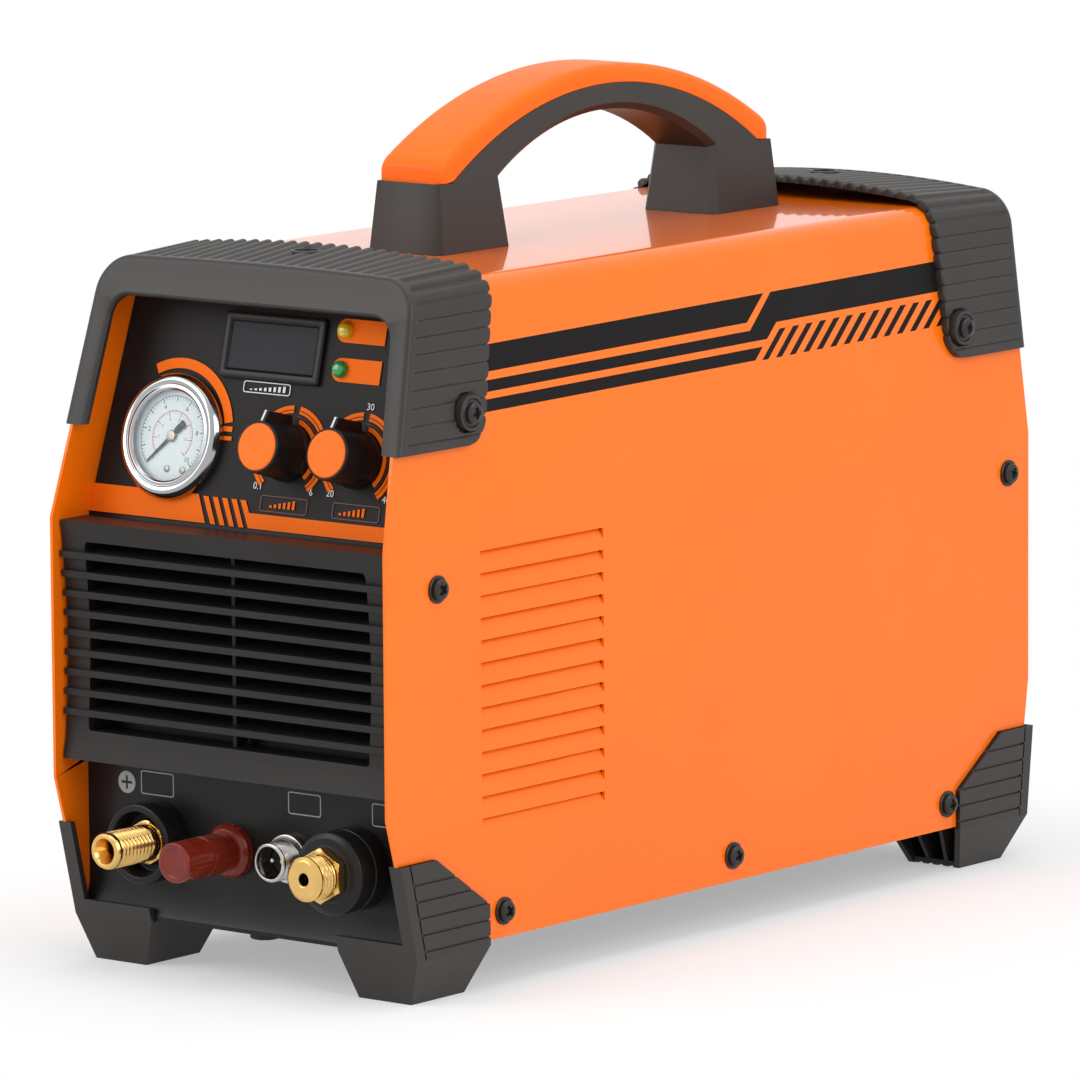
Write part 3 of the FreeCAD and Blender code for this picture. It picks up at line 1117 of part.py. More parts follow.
# Knobs: potentiometer in the panel, shaft, fluted knob with a pointer, and coloured cap
for name, across in (("left", "left_knob_across"), ("right", "right_knob_across")):
    pot = body(name + "_potentiometer")
    on_face(pot, across, "knob_along")
    pot_front = "-overlay - sheet - seat_gap"
    turned(pot, [("0", pot_front + " - pot_depth"), ("pot_radius", pot_front + " - pot_depth", "0.5"),
                 ("pot_radius", pot_front, "0.5"), ("bushing_radius", pot_front), ("bushing_radius", "3.4"),
                 ("shaft_radius + turn_gap", "3.4"), ("shaft_radius + turn_gap",
                                                      pot_front + " - pot_depth + 2"),
                 ("0", pot_front + " - pot_depth + 2")])
    shaft = body(name + "_knob_shaft")
    on_face(shaft, across, "knob_along")
    turned(shaft, [("0", pot_front + " - pot_depth + 2.3"),
                   ("shaft_radius", pot_front + " - pot_depth + 2.3"),
                   ("shaft_radius", "knob_height - 5", "0.4"), ("0", "knob_height - 5")])
    knob = body(name + "_knob")
    on_face(knob, across, "knob_along")
    cap_seat = "knob_height - knob_cap_height"
    turned(knob, [("shaft_radius", "4.6"), ("shaft_radius + 3.2", "4.6"), ("shaft_radius + 3.2", "knob_lift"),
                  ("knob_radius", "knob_lift"), ("knob_radius", "knob_lift + 2.6"),
                  ("knob_radius - 0.5", "knob_lift + 3"), ("knob_tip_radius", "knob_height", "0.6"),
                  ("knob_cap_radius", "knob_height"), ("knob_cap_radius", cap_seat), ("0", cap_seat),
                  ("0", "knob_height - 5"), ("shaft_radius", "knob_height - 5")])
    drawing = sketch(knob, "side")
    fin_root, fin_end = "knob_cap_radius + knob_rim / 2", "knob_radius + knob_fin_reach"
    outline(drawing, [(fin_root, "knob_lift + 2"), (fin_end, "knob_lift + 2", "0.6"),
                      (fin_end, "knob_height - 0.6 - knob_fin_slope", "0.5"),
                      ("knob_tip_radius", "knob_height - 0.6"),
                      (fin_root, "knob_height - 0.6")])
    pad(knob, drawing, "knob_fin", "both")
    cap = body(name + "_knob_cap")
    on_face(cap, across, "knob_along")
    turned(cap, [("0", cap_seat), ("knob_cap_radius - seat_gap", cap_seat),
                 ("knob_cap_radius - seat_gap", "knob_height + 0.3", "0.5"), ("0", "knob_height + 0.3")])

# Torch connectors: insulating cup or disc with a brass fitting through it
left_socket = body("left_socket")
on_ports(left_socket, "left_port_across")
stem = "left_cup_radius - 2.4"
turned(left_socket, [("left_nozzle_radius + seat_gap", "-6"), (stem, "-6"), (stem, "seat_gap"),
                     ("left_cup_radius", "seat_gap"), ("left_cup_radius", "left_cup_depth", "1.0"),
                     ("left_cup_radius - 2.8", "left_cup_depth", "0.6"), ("left_cup_radius - 3.2", "2.6"),
                     ("left_nozzle_radius + seat_gap", "2.6")])
left_fitting = body("left_fitting")
on_ports(left_fitting, "left_port_across")
turned(left_fitting, [("left_bore_radius", "-16"), ("left_nozzle_radius", "-16"),
                      ("left_nozzle_radius", "left_reach - 1.2"), ("left_nozzle_radius - 1", "left_reach"),
                      ("left_cone_radius", "left_reach"), ("left_bore_radius", "left_reach - 4.5")])
drawing = sketch(left_fitting, "top", "2.7")
hexagon(drawing, "left_hex")
ring(drawing, "0", "0", "left_nozzle_radius - 0.5")
pad(left_fitting, drawing, "3.2")
right_socket = body("right_socket")
on_ports(right_socket, "right_port_across")
stem = "right_disc_radius - 2.4"
turned(right_socket, [("right_nozzle_radius + seat_gap", "-6"), (stem, "-6"), (stem, "seat_gap"),
                      ("right_disc_radius", "seat_gap"), ("right_disc_radius", "right_disc_depth", "1.2"),
                      ("right_nozzle_radius + seat_gap", "right_disc_depth")])
right_fitting = body("right_fitting")
on_ports(right_fitting, "right_port_across")
turned(right_fitting, [("right_bore_radius", "-16"), ("right_nozzle_radius", "-16"),
                       ("right_nozzle_radius", "right_reach - 1.4"),
                       ("right_nozzle_radius - 1.4", "right_reach"),
                       ("right_bore_radius", "right_reach")])
drawing = sketch(right_fitting, "top", "right_disc_depth + seat_gap")
hexagon(drawing, "right_hex")
ring(drawing, "0", "0", "right_nozzle_radius - 0.5")
pad(right_fitting, drawing, "3.6")

# Insulated terminal: collar in the panel, stud, and a cap that screws along the stud
terminal_base = body("terminal_base")
on_ports(terminal_base, "terminal_across")
turned(terminal_base, [("stud_radius + seat_gap", "-5"), ("stud_radius + 2", "-5"),
                       ("stud_radius + 2", "seat_gap"),
                       ("terminal_flange_radius", "seat_gap"),
                       ("terminal_flange_radius", "terminal_flange - 2", "0.6"),
                       ("terminal_cap_radius + 0.8", "terminal_flange", "0.4"),
                       ("stud_radius + seat_gap", "terminal_flange")])
stud = body("terminal_stud")
on_ports(stud, "terminal_across")
turned(stud, [("0", "-14"), ("stud_radius", "-14"), ("stud_radius", "terminal_reach - 8", "0.5"),
              ("0", "terminal_reach - 8")])
terminal_cap = body("terminal_cap")
on_ports(terminal_cap, "terminal_across")
hold = "stud_radius + turn_gap"
turned(terminal_cap, [(hold, "terminal_flange + 0.4"), ("terminal_cap_radius - 0.6", "terminal_flange + 0.4"),
                      ("terminal_cap_radius - 0.6", "terminal_flange + 4"),
                      ("terminal_cap_radius", "terminal_flange + 5"),
                      ("terminal_cap_radius", "terminal_reach", "0.9"),
                      ("0", "terminal_reach"), ("0", "terminal_reach - 7.6"), (hold, "terminal_reach - 7.6")])

# Round two-pin signal socket
shell = body("signal_socket_shell")
on_ports(shell, "socket_across")
room = "socket_radius - socket_wall"
turned(shell, [(room, "-7"), ("socket_radius - 0.6", "-7"), ("socket_radius - 0.6", "seat_gap"),
               ("socket_flange_radius", "seat_gap"), ("socket_flange_radius", "2.4", "0.5"),
               ("socket_radius", "2.4"),
               ("socket_radius", "socket_reach", "0.4"), (room, "socket_reach")])
insert = body("signal_socket_insert")
on_ports(insert, "socket_across")
turned(insert, [("0", "-7"), (room + " - turn_gap", "-7"), (room + " - turn_gap", "socket_floor"),
                ("0", "socket_floor")])
pins = body("signal_socket_pins")
on_ports(pins, "socket_across")
drawing = sketch(pins, "top", "socket_floor")
ring(drawing, "-socket_pin_spread", "0", "socket_pin_radius")
ring(drawing, "socket_pin_spread", "0", "socket_pin_radius")
pad(pins, drawing, "socket_pin_length")

# Rear panel with the fan's slots and the openings of what it carries
rear_panel = body("rear_panel")
drawing = sketch(rear_panel, "side")
outline(drawing, [("rear_face - sheet", "panel_bottom"), ("rear_face", "panel_bottom"),
                  ("rear_face", panel_top),
                  ("rear_face - sheet", panel_top)])
pad(rear_panel, drawing, "2 * inner_half", "both")
drawing = sketch(rear_panel, "side")
outline(drawing, [("rear_face - panel_flange", flange_foot), ("rear_face", flange_foot),
                  ("rear_face", "shoulder_height"), ("rear_face - panel_flange", "shoulder_height")])
pad(rear_panel, drawing, "2 * inner_half", "both")
drawing = sketch(rear_panel, "front", "rear_face - sheet")
box_outline(drawing, "-(inner_half - sheet)", "0", "inner_half - sheet", "cover_top")
pocket(rear_panel, drawing, "panel_flange + 5", "out")
end_panel_trim(rear_panel, "panel_bottom", panel_top)
screw_holes(rear_panel, SIDE_SCREWS[4:])
drawing = sketch(rear_panel, "front", "rear_face - 5")
ring(drawing, "gland_across", "gland_height", "gland_radius - 3")
ring(drawing, "inlet_across", "inlet_height", "inlet_radius + 1.6")
box_outline(drawing, "switch_across - switch_width / 2 + 1.5", "switch_height - switch_length / 2 + 1.5",
            "switch_across + switch_width / 2 - 1.5", "switch_height + switch_length / 2 - 1.5")
pocket(rear_panel, drawing, "10", "back")
drawing = sketch(rear_panel, "front", "rear_face - 5")
slots = int(value("2 * (fan_bore - fan_slot) / fan_slot_pitch")) // 2
for number in range(-slots, slots + 1):
    off = "(fan_slot_pitch * %d)" % number
    edge = "(abs(%s) + fan_slot / 2)" % off
    reach = "sqrt((fan_bore - 2) * (fan_bore - 2) - %s * %s)" % (edge, edge)
    box_outline(drawing, "fan_across - " + reach, "fan_height + %s - fan_slot / 2" % off,
                "fan_across + " + reach,
                "fan_height + %s + fan_slot / 2" % off)
pocket(rear_panel, drawing, "10", "back")

# Cooling fan: square frame with a strutted hub seat, and a rotor that runs on its shaft
frame = body("fan_frame")
place(frame, "fan_across", "rear_face - sheet - seat_gap", "fan_height", "-90 deg")
drawing = sketch(frame, "top", "-fan_depth")
box_outline(drawing, "-fan_size / 2", "-fan_size / 2", "fan_size / 2", "fan_size / 2", "5")
ring(drawing, "0", "0", "fan_bore")
pad(frame, drawing, "fan_depth")
drawing = sketch(frame, "top", "-fan_depth")
ring(drawing, "0", "0", "fan_hub_radius - 1")
ring(drawing, "0", "0", "fan_pin_radius + turn_gap")
pad(frame, drawing, "4")
drawing = sketch(frame, "top", "-fan_depth")
inner_end, outer_end = "fan_hub_radius - 2", "fan_bore + 1"
outline(drawing, [(inner_end, "-2"), (outer_end, "-2"), (outer_end, "2"), (inner_end, "2")])
strut = pad(frame, drawing, "3")
polar = frame.newObject("PartDesign::PolarPattern", "Struts")
polar.Originals = [strut]
polar.Axis = ([axis for axis in frame.Origin.OriginFeatures if axis.Role == "Z_Axis"][0], [""])
polar.Angle = 360
polar.Occurrences = 4
frame.Tip = polar

rotor = body("fan_rotor")
place(rotor, "fan_across", "rear_face - sheet - seat_gap", "fan_height", "-90 deg")
turned(rotor, [("0", "-fan_depth + 0.5"), ("fan_pin_radius", "-fan_depth + 0.5"),
               ("fan_pin_radius", "-fan_depth + 4.6"),
               ("fan_hub_radius", "-fan_depth + 4.6"), ("fan_hub_radius", "-3", "1.5"), ("0", "-3")])
drawing = sketch(rotor, "side", "fan_hub_radius - 3")
outline(drawing, [("-9", "-fan_depth + 5.6"), ("-7.4", "-fan_depth + 5"), ("9", "-4.2"), ("7.4", "-3.6")])
blade = pad(rotor, drawing, "fan_bore - fan_tip_gap - fan_hub_radius + 2")
polar = rotor.newObject("PartDesign::PolarPattern", "Blades")
polar.Originals = [blade]
polar.Axis = ([axis for axis in rotor.Origin.OriginFeatures if axis.Role == "Z_Axis"][0], [""])
polar.Angle = 360
polar.setExpression("Occurrences", bound("fan_blades"))
rotor.Tip = polar

# Mains switch: housing in the rear panel and a rocker on its pivot
switch = body("power_switch_body")
on_rear(switch, "switch_across", "switch_height")
drawing = sketch(switch, "top", "seat_gap")
box_outline(drawing, "-switch_width / 2", "-switch_length / 2", "switch_width / 2", "switch_length / 2",
            "1.5")
pad(switch, drawing, "2")
drawing = sketch(switch, "top", "-switch_depth")
box_outline(drawing, "-switch_width / 2 + 1.7", "-switch_length / 2 + 1.7", "switch_width / 2 - 1.7",
            "switch_length / 2 - 1.7")
pad(switch, drawing, "switch_depth + 1")
drawing = sketch(switch, "top", "5")
box_outline(drawing, "-switch_width / 2 + 3.2", "-switch_length / 2 + 3.2", "switch_width / 2 - 3.2",
            "switch_length / 2 - 3.2")
pocket(switch, drawing, "15")
drawing = sketch(switch, "side")
ring(drawing, "0", "-2.5", "1.5 + turn_gap")
pocket(switch, drawing, "switch_width - 3.4 - 0.8", "both")
rocker = body("power_switch_rocker")
on_rear(rocker, "switch_across", "switch_height")
drawing = sketch(rocker, "side")
half = "(switch_length / 2 - 5.6)"
rise = "(%s * tan(switch_tilt * 1 deg))" % half
outline(drawing, [("-3", "-5"), ("3", "-5"), (half, "0.6 - %s" % rise), (half, "3 - %s" % rise), ("0", "1.6"),
                  ("-" + half, "3.2 + %s" % rise), ("-" + half, "0.8 + %s - 2" % rise)])
pad(rocker, drawing, "switch_width - 6.4 - 0.6", "both")
drawing = sketch(rocker, "side")
ring(drawing, "0", "-2.5", "1.5")
pad(rocker, drawing, "switch_width - 3.4 - 1.4", "both")

# Cable gland for the mains lead: dome nut with its seal's opening, and a lock nut inside
gland = body("cable_gland")
on_rear(gland, "gland_across", "gland_height")
turned(gland, [("gland_bore", "-12"), ("gland_radius - 3.2", "-12"), ("gland_radius - 3.2", "seat_gap"),
               ("gland_radius", "seat_gap"), ("gland_radius", "5"), ("gland_radius - 1.2", "5.6"),
               ("gland_radius - 1.2", "gland_reach - 6"), ("gland_radius - 3.6", "gland_reach", "1.5"),
               ("gland_bore", "gland_reach")])
gland_nut = body("gland_nut")
on_rear(gland_nut, "gland_across", "gland_height")
drawing = sketch(gland_nut, "top", "-sheet - seat_gap")
hexagon(drawing, "2 * gland_radius - 1")
ring(drawing, "0", "0", "gland_radius - 3.2 + seat_gap")
pad(gland_nut, drawing, "4", "back")

# Air inlet: hexagon body with a plug nipple
inlet = body("air_inlet")
on_rear(inlet, "inlet_across", "inlet_height")
turned(inlet, [("inlet_bore", "-14"), ("inlet_radius + 1.4", "-14"), ("inlet_radius + 1.4", "9"),
               ("inlet_radius", "9.6"), ("inlet_radius", "inlet_reach - 10"),
               ("inlet_radius - 1.2", "inlet_reach - 9"),
               ("inlet_radius - 1.2", "inlet_reach - 5.5"), ("inlet_radius", "inlet_reach - 4.5"),
               ("inlet_radius", "inlet_reach - 1.5"), ("inlet_radius - 0.9", "inlet_reach"),
               ("inlet_bore", "inlet_reach")])
drawing = sketch(inlet, "top", "seat_gap")
hexagon(drawing, "inlet_hex")
ring(drawing, "0", "0", "inlet_radius")
pad(inlet, drawing, "8")

# Fasteners: each group of like screws is one piece of separate solids


def screws(label, spots, seat):
    """Make a group of case screws on both sides, their heads at a distance from the centre plane."""
    group = body(label)
    for side, way in (("", "out"), ("-", "back")):
        drawing = sketch(group, "side", side + "(%s)" % seat)
        for deep, up in spots:
            ring(drawing, deep, up, "screw_head_radius")
        pad(group, drawing, "screw_head_height", way)
        drawing = sketch(group, "side", side + "(%s)" % seat)
        for deep, up in spots:
            ring(drawing, deep, up, "screw_radius")
        pad(group, drawing, "screw_length", "back" if way == "out" else "out")


screws("side_screws", SIDE_SCREWS, "half_width + 0.02")
screws("guard_screws", GUARD_SCREWS, "half_width + 0.22")


# Power board on four pillars, with two finned heat sinks and the smoothing capacitors on it
board = body("power_board")
drawing = sketch(board, "top", "board_height")
box_outline(drawing, "-board_half_width", "board_front", "board_half_width", "board_front + board_length")
pad(board, drawing, "board_thick")
drawing = sketch(board, "top", "floor_top + seat_gap")
for across in ("-(board_half_width - 8)", "(board_half_width - 8)"):
    for deep in ("(board_front + 8)", "(board_front + board_length - 8)"):
        ring(drawing, across, deep, "standoff_radius")
pad(board, drawing, "board_height - floor_top")
board_top = "board_height + board_thick + seat_gap"
sinks = body("heat_sinks")
span = "(sink_pitch * (sink_fins - 1))"
centres = ("-(board_half_width / 2)", "(board_half_width / 2)")
sink_front = "board_front + sink_start"
drawing = sketch(sinks, "front", sink_front)
for centre in centres:
    box_outline(drawing, "%s - %s / 2 - sink_fin / 2" % (centre, span), board_top,
                "%s + %s / 2 + sink_fin / 2" % (centre, span), board_top + " + 4")
pad(sinks, drawing, "sink_length", "back")
drawing = sketch(sinks, "front", sink_front)
for centre in centres:
    box_outline(drawing, "%s - %s / 2 - sink_fin / 2" % (centre, span), board_top + " + 3",
                "%s - %s / 2 + sink_fin / 2" % (centre, span), board_top + " + 4 + sink_height")
fin = pad(sinks, drawing, "sink_length", "back")
spread(sinks, fin, "X_Axis", span, "sink_fins")
capacitors = body("capacitors")
drawing = sketch(capacitors, "top", board_top)
for across in ("-(board_half_width * 0.6)", "0", "(board_half_width * 0.6)"):
    ring(drawing, across, "board_front + capacitor_radius + 12", "capacitor_radius")
pad(capacitors, drawing, "capacitor_height")

# Transformer on the tray behind the board: ferrite core with a coil round its middle leg
core_middle = "rear_face - core_inset"
core = body("transformer_core")
drawing = sketch(core, "front", core_middle + " - 10")
low = "floor_top + seat_gap"
box_outline(drawing, "-core_length / 2", low, "core_length / 2", low + " + core_height")
for left, right in (("-core_length / 2 + 8", "-8"), ("8", "core_length / 2 - 8")):
    box_outline(drawing, left, low + " + 8", right, low + " + core_height - 8")
pad(core, drawing, "20", "back")
coil = body("transformer_coil")
drawing = sketch(coil, "top", low + " + 8.2")
box_outline(drawing, "-(core_length / 2 - 8.3)", core_middle + " - coil_radius", "core_length / 2 - 8.3",
            core_middle + " + coil_radius", "4")
box_outline(drawing, "-8.2", core_middle + " - 10.2", "8.2", core_middle + " + 10.2")
pad(coil, drawing, "core_height - 16.4")

# Gas valve on the tray in front of the air inlet
valve = body("gas_valve")
drawing = sketch(valve, "top", low)
valve_front = "(rear_face - 14.3 - 30)"
box_outline(drawing, "inlet_across - 13", valve_front, "inlet_across + 13", valve_front + " + 30", "2")
pad(valve, drawing, "inlet_height + 10 - floor_top")
drawing = sketch(valve, "top", "inlet_height + 8")
ring(drawing, "inlet_across", valve_front + " + 11", "9")
pad(valve, drawing, "12")

doc.recompute()
for item in doc.Objects:
    if "Invalid" in item.State or "Error" in item.State:
        raise RuntimeError("%s of %s failed: %s" % (item.Name, item.Label, item.State))
os.makedirs("parts", exist_ok=True)
for piece in PIECES:
    if piece.Shape.isNull() or not piece.Shape.isValid():
        raise RuntimeError("%s has no sound shape" % piece.Label)
for piece in PIECES:
    piece.Shape.exportStep(os.path.join("parts", piece.Label + ".step"))
print("%d pieces, %d solids" % (len(PIECES), sum(len(piece.Shape.Solids) for piece in PIECES)))
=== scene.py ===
"""Looks of a portable air plasma cutter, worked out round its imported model.

Sizes are in millimetres and turn into metres where a mesh is made.  X runs across the case, Y from front to back
and Z up.  A depth is counted from the front edge of the cover's sides, a height from the floor.  On the sloping
control face a point is given across, up the slope and out of the face.
"""

import json
import logging
import math
from dataclasses import dataclass
from enum import Enum
from functools import lru_cache
from typing import Any, Iterable, Sequence, Union

import bmesh
import bpy
import numpy as np
from mathutils import Matrix, Vector

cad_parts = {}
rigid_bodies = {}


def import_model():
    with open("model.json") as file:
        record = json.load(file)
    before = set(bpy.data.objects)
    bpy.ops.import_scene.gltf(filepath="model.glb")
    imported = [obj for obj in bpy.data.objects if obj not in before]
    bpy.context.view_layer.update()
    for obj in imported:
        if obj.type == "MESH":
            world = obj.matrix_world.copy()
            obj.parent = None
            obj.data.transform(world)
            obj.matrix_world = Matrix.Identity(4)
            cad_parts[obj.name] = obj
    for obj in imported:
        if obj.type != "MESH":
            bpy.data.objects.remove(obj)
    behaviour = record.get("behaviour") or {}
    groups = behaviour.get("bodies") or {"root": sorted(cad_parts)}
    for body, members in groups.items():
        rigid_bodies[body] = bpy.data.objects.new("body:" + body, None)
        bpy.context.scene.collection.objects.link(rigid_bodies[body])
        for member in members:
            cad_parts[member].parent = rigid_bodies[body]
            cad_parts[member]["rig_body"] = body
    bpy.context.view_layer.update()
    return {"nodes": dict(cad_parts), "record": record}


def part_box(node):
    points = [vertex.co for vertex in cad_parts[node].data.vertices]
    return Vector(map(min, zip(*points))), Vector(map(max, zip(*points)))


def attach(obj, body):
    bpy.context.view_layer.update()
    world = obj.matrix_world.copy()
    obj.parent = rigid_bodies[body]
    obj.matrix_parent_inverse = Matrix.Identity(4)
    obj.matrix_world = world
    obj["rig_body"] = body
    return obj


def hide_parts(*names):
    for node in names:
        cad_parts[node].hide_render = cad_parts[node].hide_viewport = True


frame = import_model()

LOG = logging.getLogger("plasma_cutter")
MM = 0.001
FULL_TURN = 2 * math.pi
MERGE = 2e-6
FLAT = 0.004
SMOOTH = math.radians(32)
ROUNDED = math.radians(34)
# Share of a finish's second colour that is kept where painted shade darkens its grooves.
GROOVE_SHADE_SHARE = 0.16
FRONT_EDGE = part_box("cover")[0].y / MM
SLOT_OF = {part["node"]: part["material_slot"] for part in frame["record"]["subparts"]}

Colour = tuple[float, float, float]
Pair = tuple[float, float]
Triple = tuple[float, float, float]
Corner = tuple[float, ...]


class Body(Enum):
    """The bodies of the unit that a piece can move with."""

    CASE = "case"
    LEFT_KNOB = "left_knob_set"
    RIGHT_KNOB = "right_knob_set"
    NEEDLE = "needle_set"
    TERMINAL_CAP = "terminal_cap_set"
    ROTOR = "rotor_set"
    ROCKER = "rocker_set"


class Side(Enum):
    """Sides of the case, seen from the front."""

    LEFT = -1
    RIGHT = 1


@dataclass(frozen=True)
class Seat:
    """A place on the unit: an origin in millimetres and the ways across, up and out of it."""

    origin: Triple
    across: Triple = (1.0, 0.0, 0.0)
    up: Triple = (0.0, 1.0, 0.0)
    out: Triple = (0.0, 0.0, 1.0)

    def place(self, points: np.ndarray) -> np.ndarray:
        """Return points of the seat as points of the unit: the origin plus each share of the three ways."""
        return np.asarray(self.origin) + points @ np.array([self.across, self.up, self.out])

    def moved(self, across: float = 0.0, up: float = 0.0, out: float = 0.0) -> "Seat":
        """Return the same seat with its origin moved along its own ways."""
        origin = tuple(self.place(np.array([across, up, out])))
        return Seat(origin, self.across, self.up, self.out)


@dataclass(frozen=True)
class CaseSizes:
    """Driving sizes of the case that the seats are worked out from."""

    half_width: float = 75.0
    shoulder: float = 157.0
    lean: float = 0.0928
    face_depth: float = 18.9
    face_slope: float = 0.245
    film: float = 0.4
    port_depth: float = 16.7
    port_height: float = 45.0


CASE = CaseSizes()
UNIT = Seat((0.0, FRONT_EDGE, 0.0))


def slant(slope: float) -> Pair:
    """Return the sine and cosine of a slope."""
    return slope / math.hypot(1.0, slope), 1.0 / math.hypot(1.0, slope)


def face_seat(across: float = 0.0, along: float = 0.0) -> Seat:
    """Return a seat on the front panel's sloping face, its out way leaning back by the face's slope."""
    sine, cosine = slant(CASE.face_slope)
    return Seat((0.0, FRONT_EDGE + CASE.face_depth, CASE.shoulder), (1, 0, 0), (0, sine, cosine),
                (0, -cosine, sine)).moved(across, along)


def port_seat(across: float) -> Seat:
    """Return a seat on the upright connector face, pointing forward."""
    return Seat((across, FRONT_EDGE + CASE.port_depth, CASE.port_height), (1, 0, 0), (0, 0, 1), (0, -1, 0))


def side_seat(side: Side, depth: float, height: float, out: float) -> Seat:
    """Return a seat on an upright side, its across way following the depth."""
    way = side.value
    return Seat((way * out, FRONT_EDGE + depth, height), (0, way, 0), (0, 0, 1), (way, 0, 0))


def leaning_seat(side: Side) -> Seat:
    """Return the seat on a side's leaning upper part, with its origin on the shoulder line at the front edge."""
    way, (sine, cosine) = side.value, slant(CASE.lean)
    return Seat((way * CASE.half_width, FRONT_EDGE, CASE.shoulder), (0, way, 0), (-way * sine, 0, cosine),
                (way * cosine, 0, sine))


def rounded_path(corners: Sequence[Corner], steps: int = 5, closed: bool = False) -> np.ndarray:
    """Round the corners of a flat path.

    A corner is two coordinates and, where it is rounded, a radius.  Each round is an arc that touches both runs:
    it starts radius / tan(half the corner's angle) before the corner and turns evenly to the next run.

    Args:
        corners: the corners in order.
        steps: divisions of a quarter turn.
        closed: whether the last corner joins the first.

    Returns:
        The path's points, one row each.
    """
    spots = np.array([corner[:2] for corner in corners], float)
    path = []
    for index, corner in enumerate(corners):
        radius = corner[2] if len(corner) > 2 else 0.0
        ends = not closed and index in (0, len(corners) - 1)
        if radius == 0.0 or ends:
            path.append(spots[index][None])
            continue
        before = spots[index - 1] - spots[index]
        after = spots[(index + 1) % len(corners)] - spots[index]
        before /= np.linalg.norm(before)
        after /= np.linalg.norm(after)
        half = math.acos(float(np.clip(before @ after, -1, 1))) / 2
        middle = (before + after) / np.linalg.norm(before + after)
        centre = spots[index] + middle * radius / math.sin(half)
        start = spots[index] + before * radius / math.tan(half) - centre
        turn = math.pi - 2 * half
        way = math.copysign(1.0, before[1] * after[0] - before[0] * after[1])
        count = max(2, int(math.ceil(steps * turn / (math.pi / 2))) + 1)
        angles = way * np.linspace(0.0, turn, count)
        cosine, sine = np.cos(angles), np.sin(angles)
        path.append(centre + np.stack([start[0] * cosine - start[1] * sine, start[0] * sine + start[1] * cosine], 1))
    return np.concatenate(path)


def arc(radius: float, start: float, end: float, centre: Pair = (0.0, 0.0), step: float = 4.0) -> np.ndarray:
    """Return an arc: the centre plus radius times the cosine and sine of angles in even steps of some degrees."""
    angles = np.radians(np.linspace(start, end, max(2, int(abs(end - start) / step) + 1)))
    return np.array(centre) + radius * np.stack([np.cos(angles), np.sin(angles)], axis=1)


def band(inner: float, outer: float, start: float, end: float, centre: Pair = (0.0, 0.0)) -> np.ndarray:
    """Return the outline of a flat ring's piece: out along its outer arc and back along its inner one."""
    return np.concatenate([arc(outer, start, end, centre), arc(inner, end, start, centre)])


def box_path(left: float, low: float, right: float, high: float, radius: float = 0.0) -> np.ndarray:
    """Return the outline of an upright rectangle with rounded corners."""
    return rounded_path([(left, low, radius), (right, low, radius), (right, high, radius), (left, high, radius)],
                        closed=True)


def frame_halves(left: float, low: float, right: float, high: float, line: float) -> list[np.ndarray]:
    """Work out a rounded frame as two halves that meet at the middle of its long sides.

    Each half goes round the outside and comes back round the inside, the line's width further in.

    Args:
        left: the frame's left edge.
        low: its lower edge.
        right: its right edge.
        high: its upper edge.
        line: width of its line.

    Returns:
        The outlines of both halves.
    """
    middle = (left + right) / 2
    made = []
    for start, end in ((left, middle), (right, middle)):
        turn = math.copysign(line, end - start)
        outer = rounded_path([(end, low), (start, low, 1.0), (start, high, 1.0), (end, high)])
        inner = rounded_path([(end, high - line), (start + turn, high - line, 0.7),
                              (start + turn, low + line, 0.7), (end, low + line)])
        made.append(np.concatenate([outer, inner]))
    return made


def ways(angle: float) -> tuple[np.ndarray, np.ndarray]:
    """Return the way at an angle in degrees, its cosine and sine, and the way across it."""
    cosine, sine = math.cos(math.radians(angle)), math.sin(math.radians(angle))
    return np.array([cosine, sine]), np.array([-sine, cosine])


def mesh_points(mesh: bpy.types.Mesh) -> np.ndarray:
    """Read a mesh's points.

    Args:
        mesh: the mesh.

    Returns:
        The points, one row each.
    """
    points = np.zeros(len(mesh.vertices) * 3)
    mesh.vertices.foreach_get("co", points)
    return points.reshape(-1, 3)


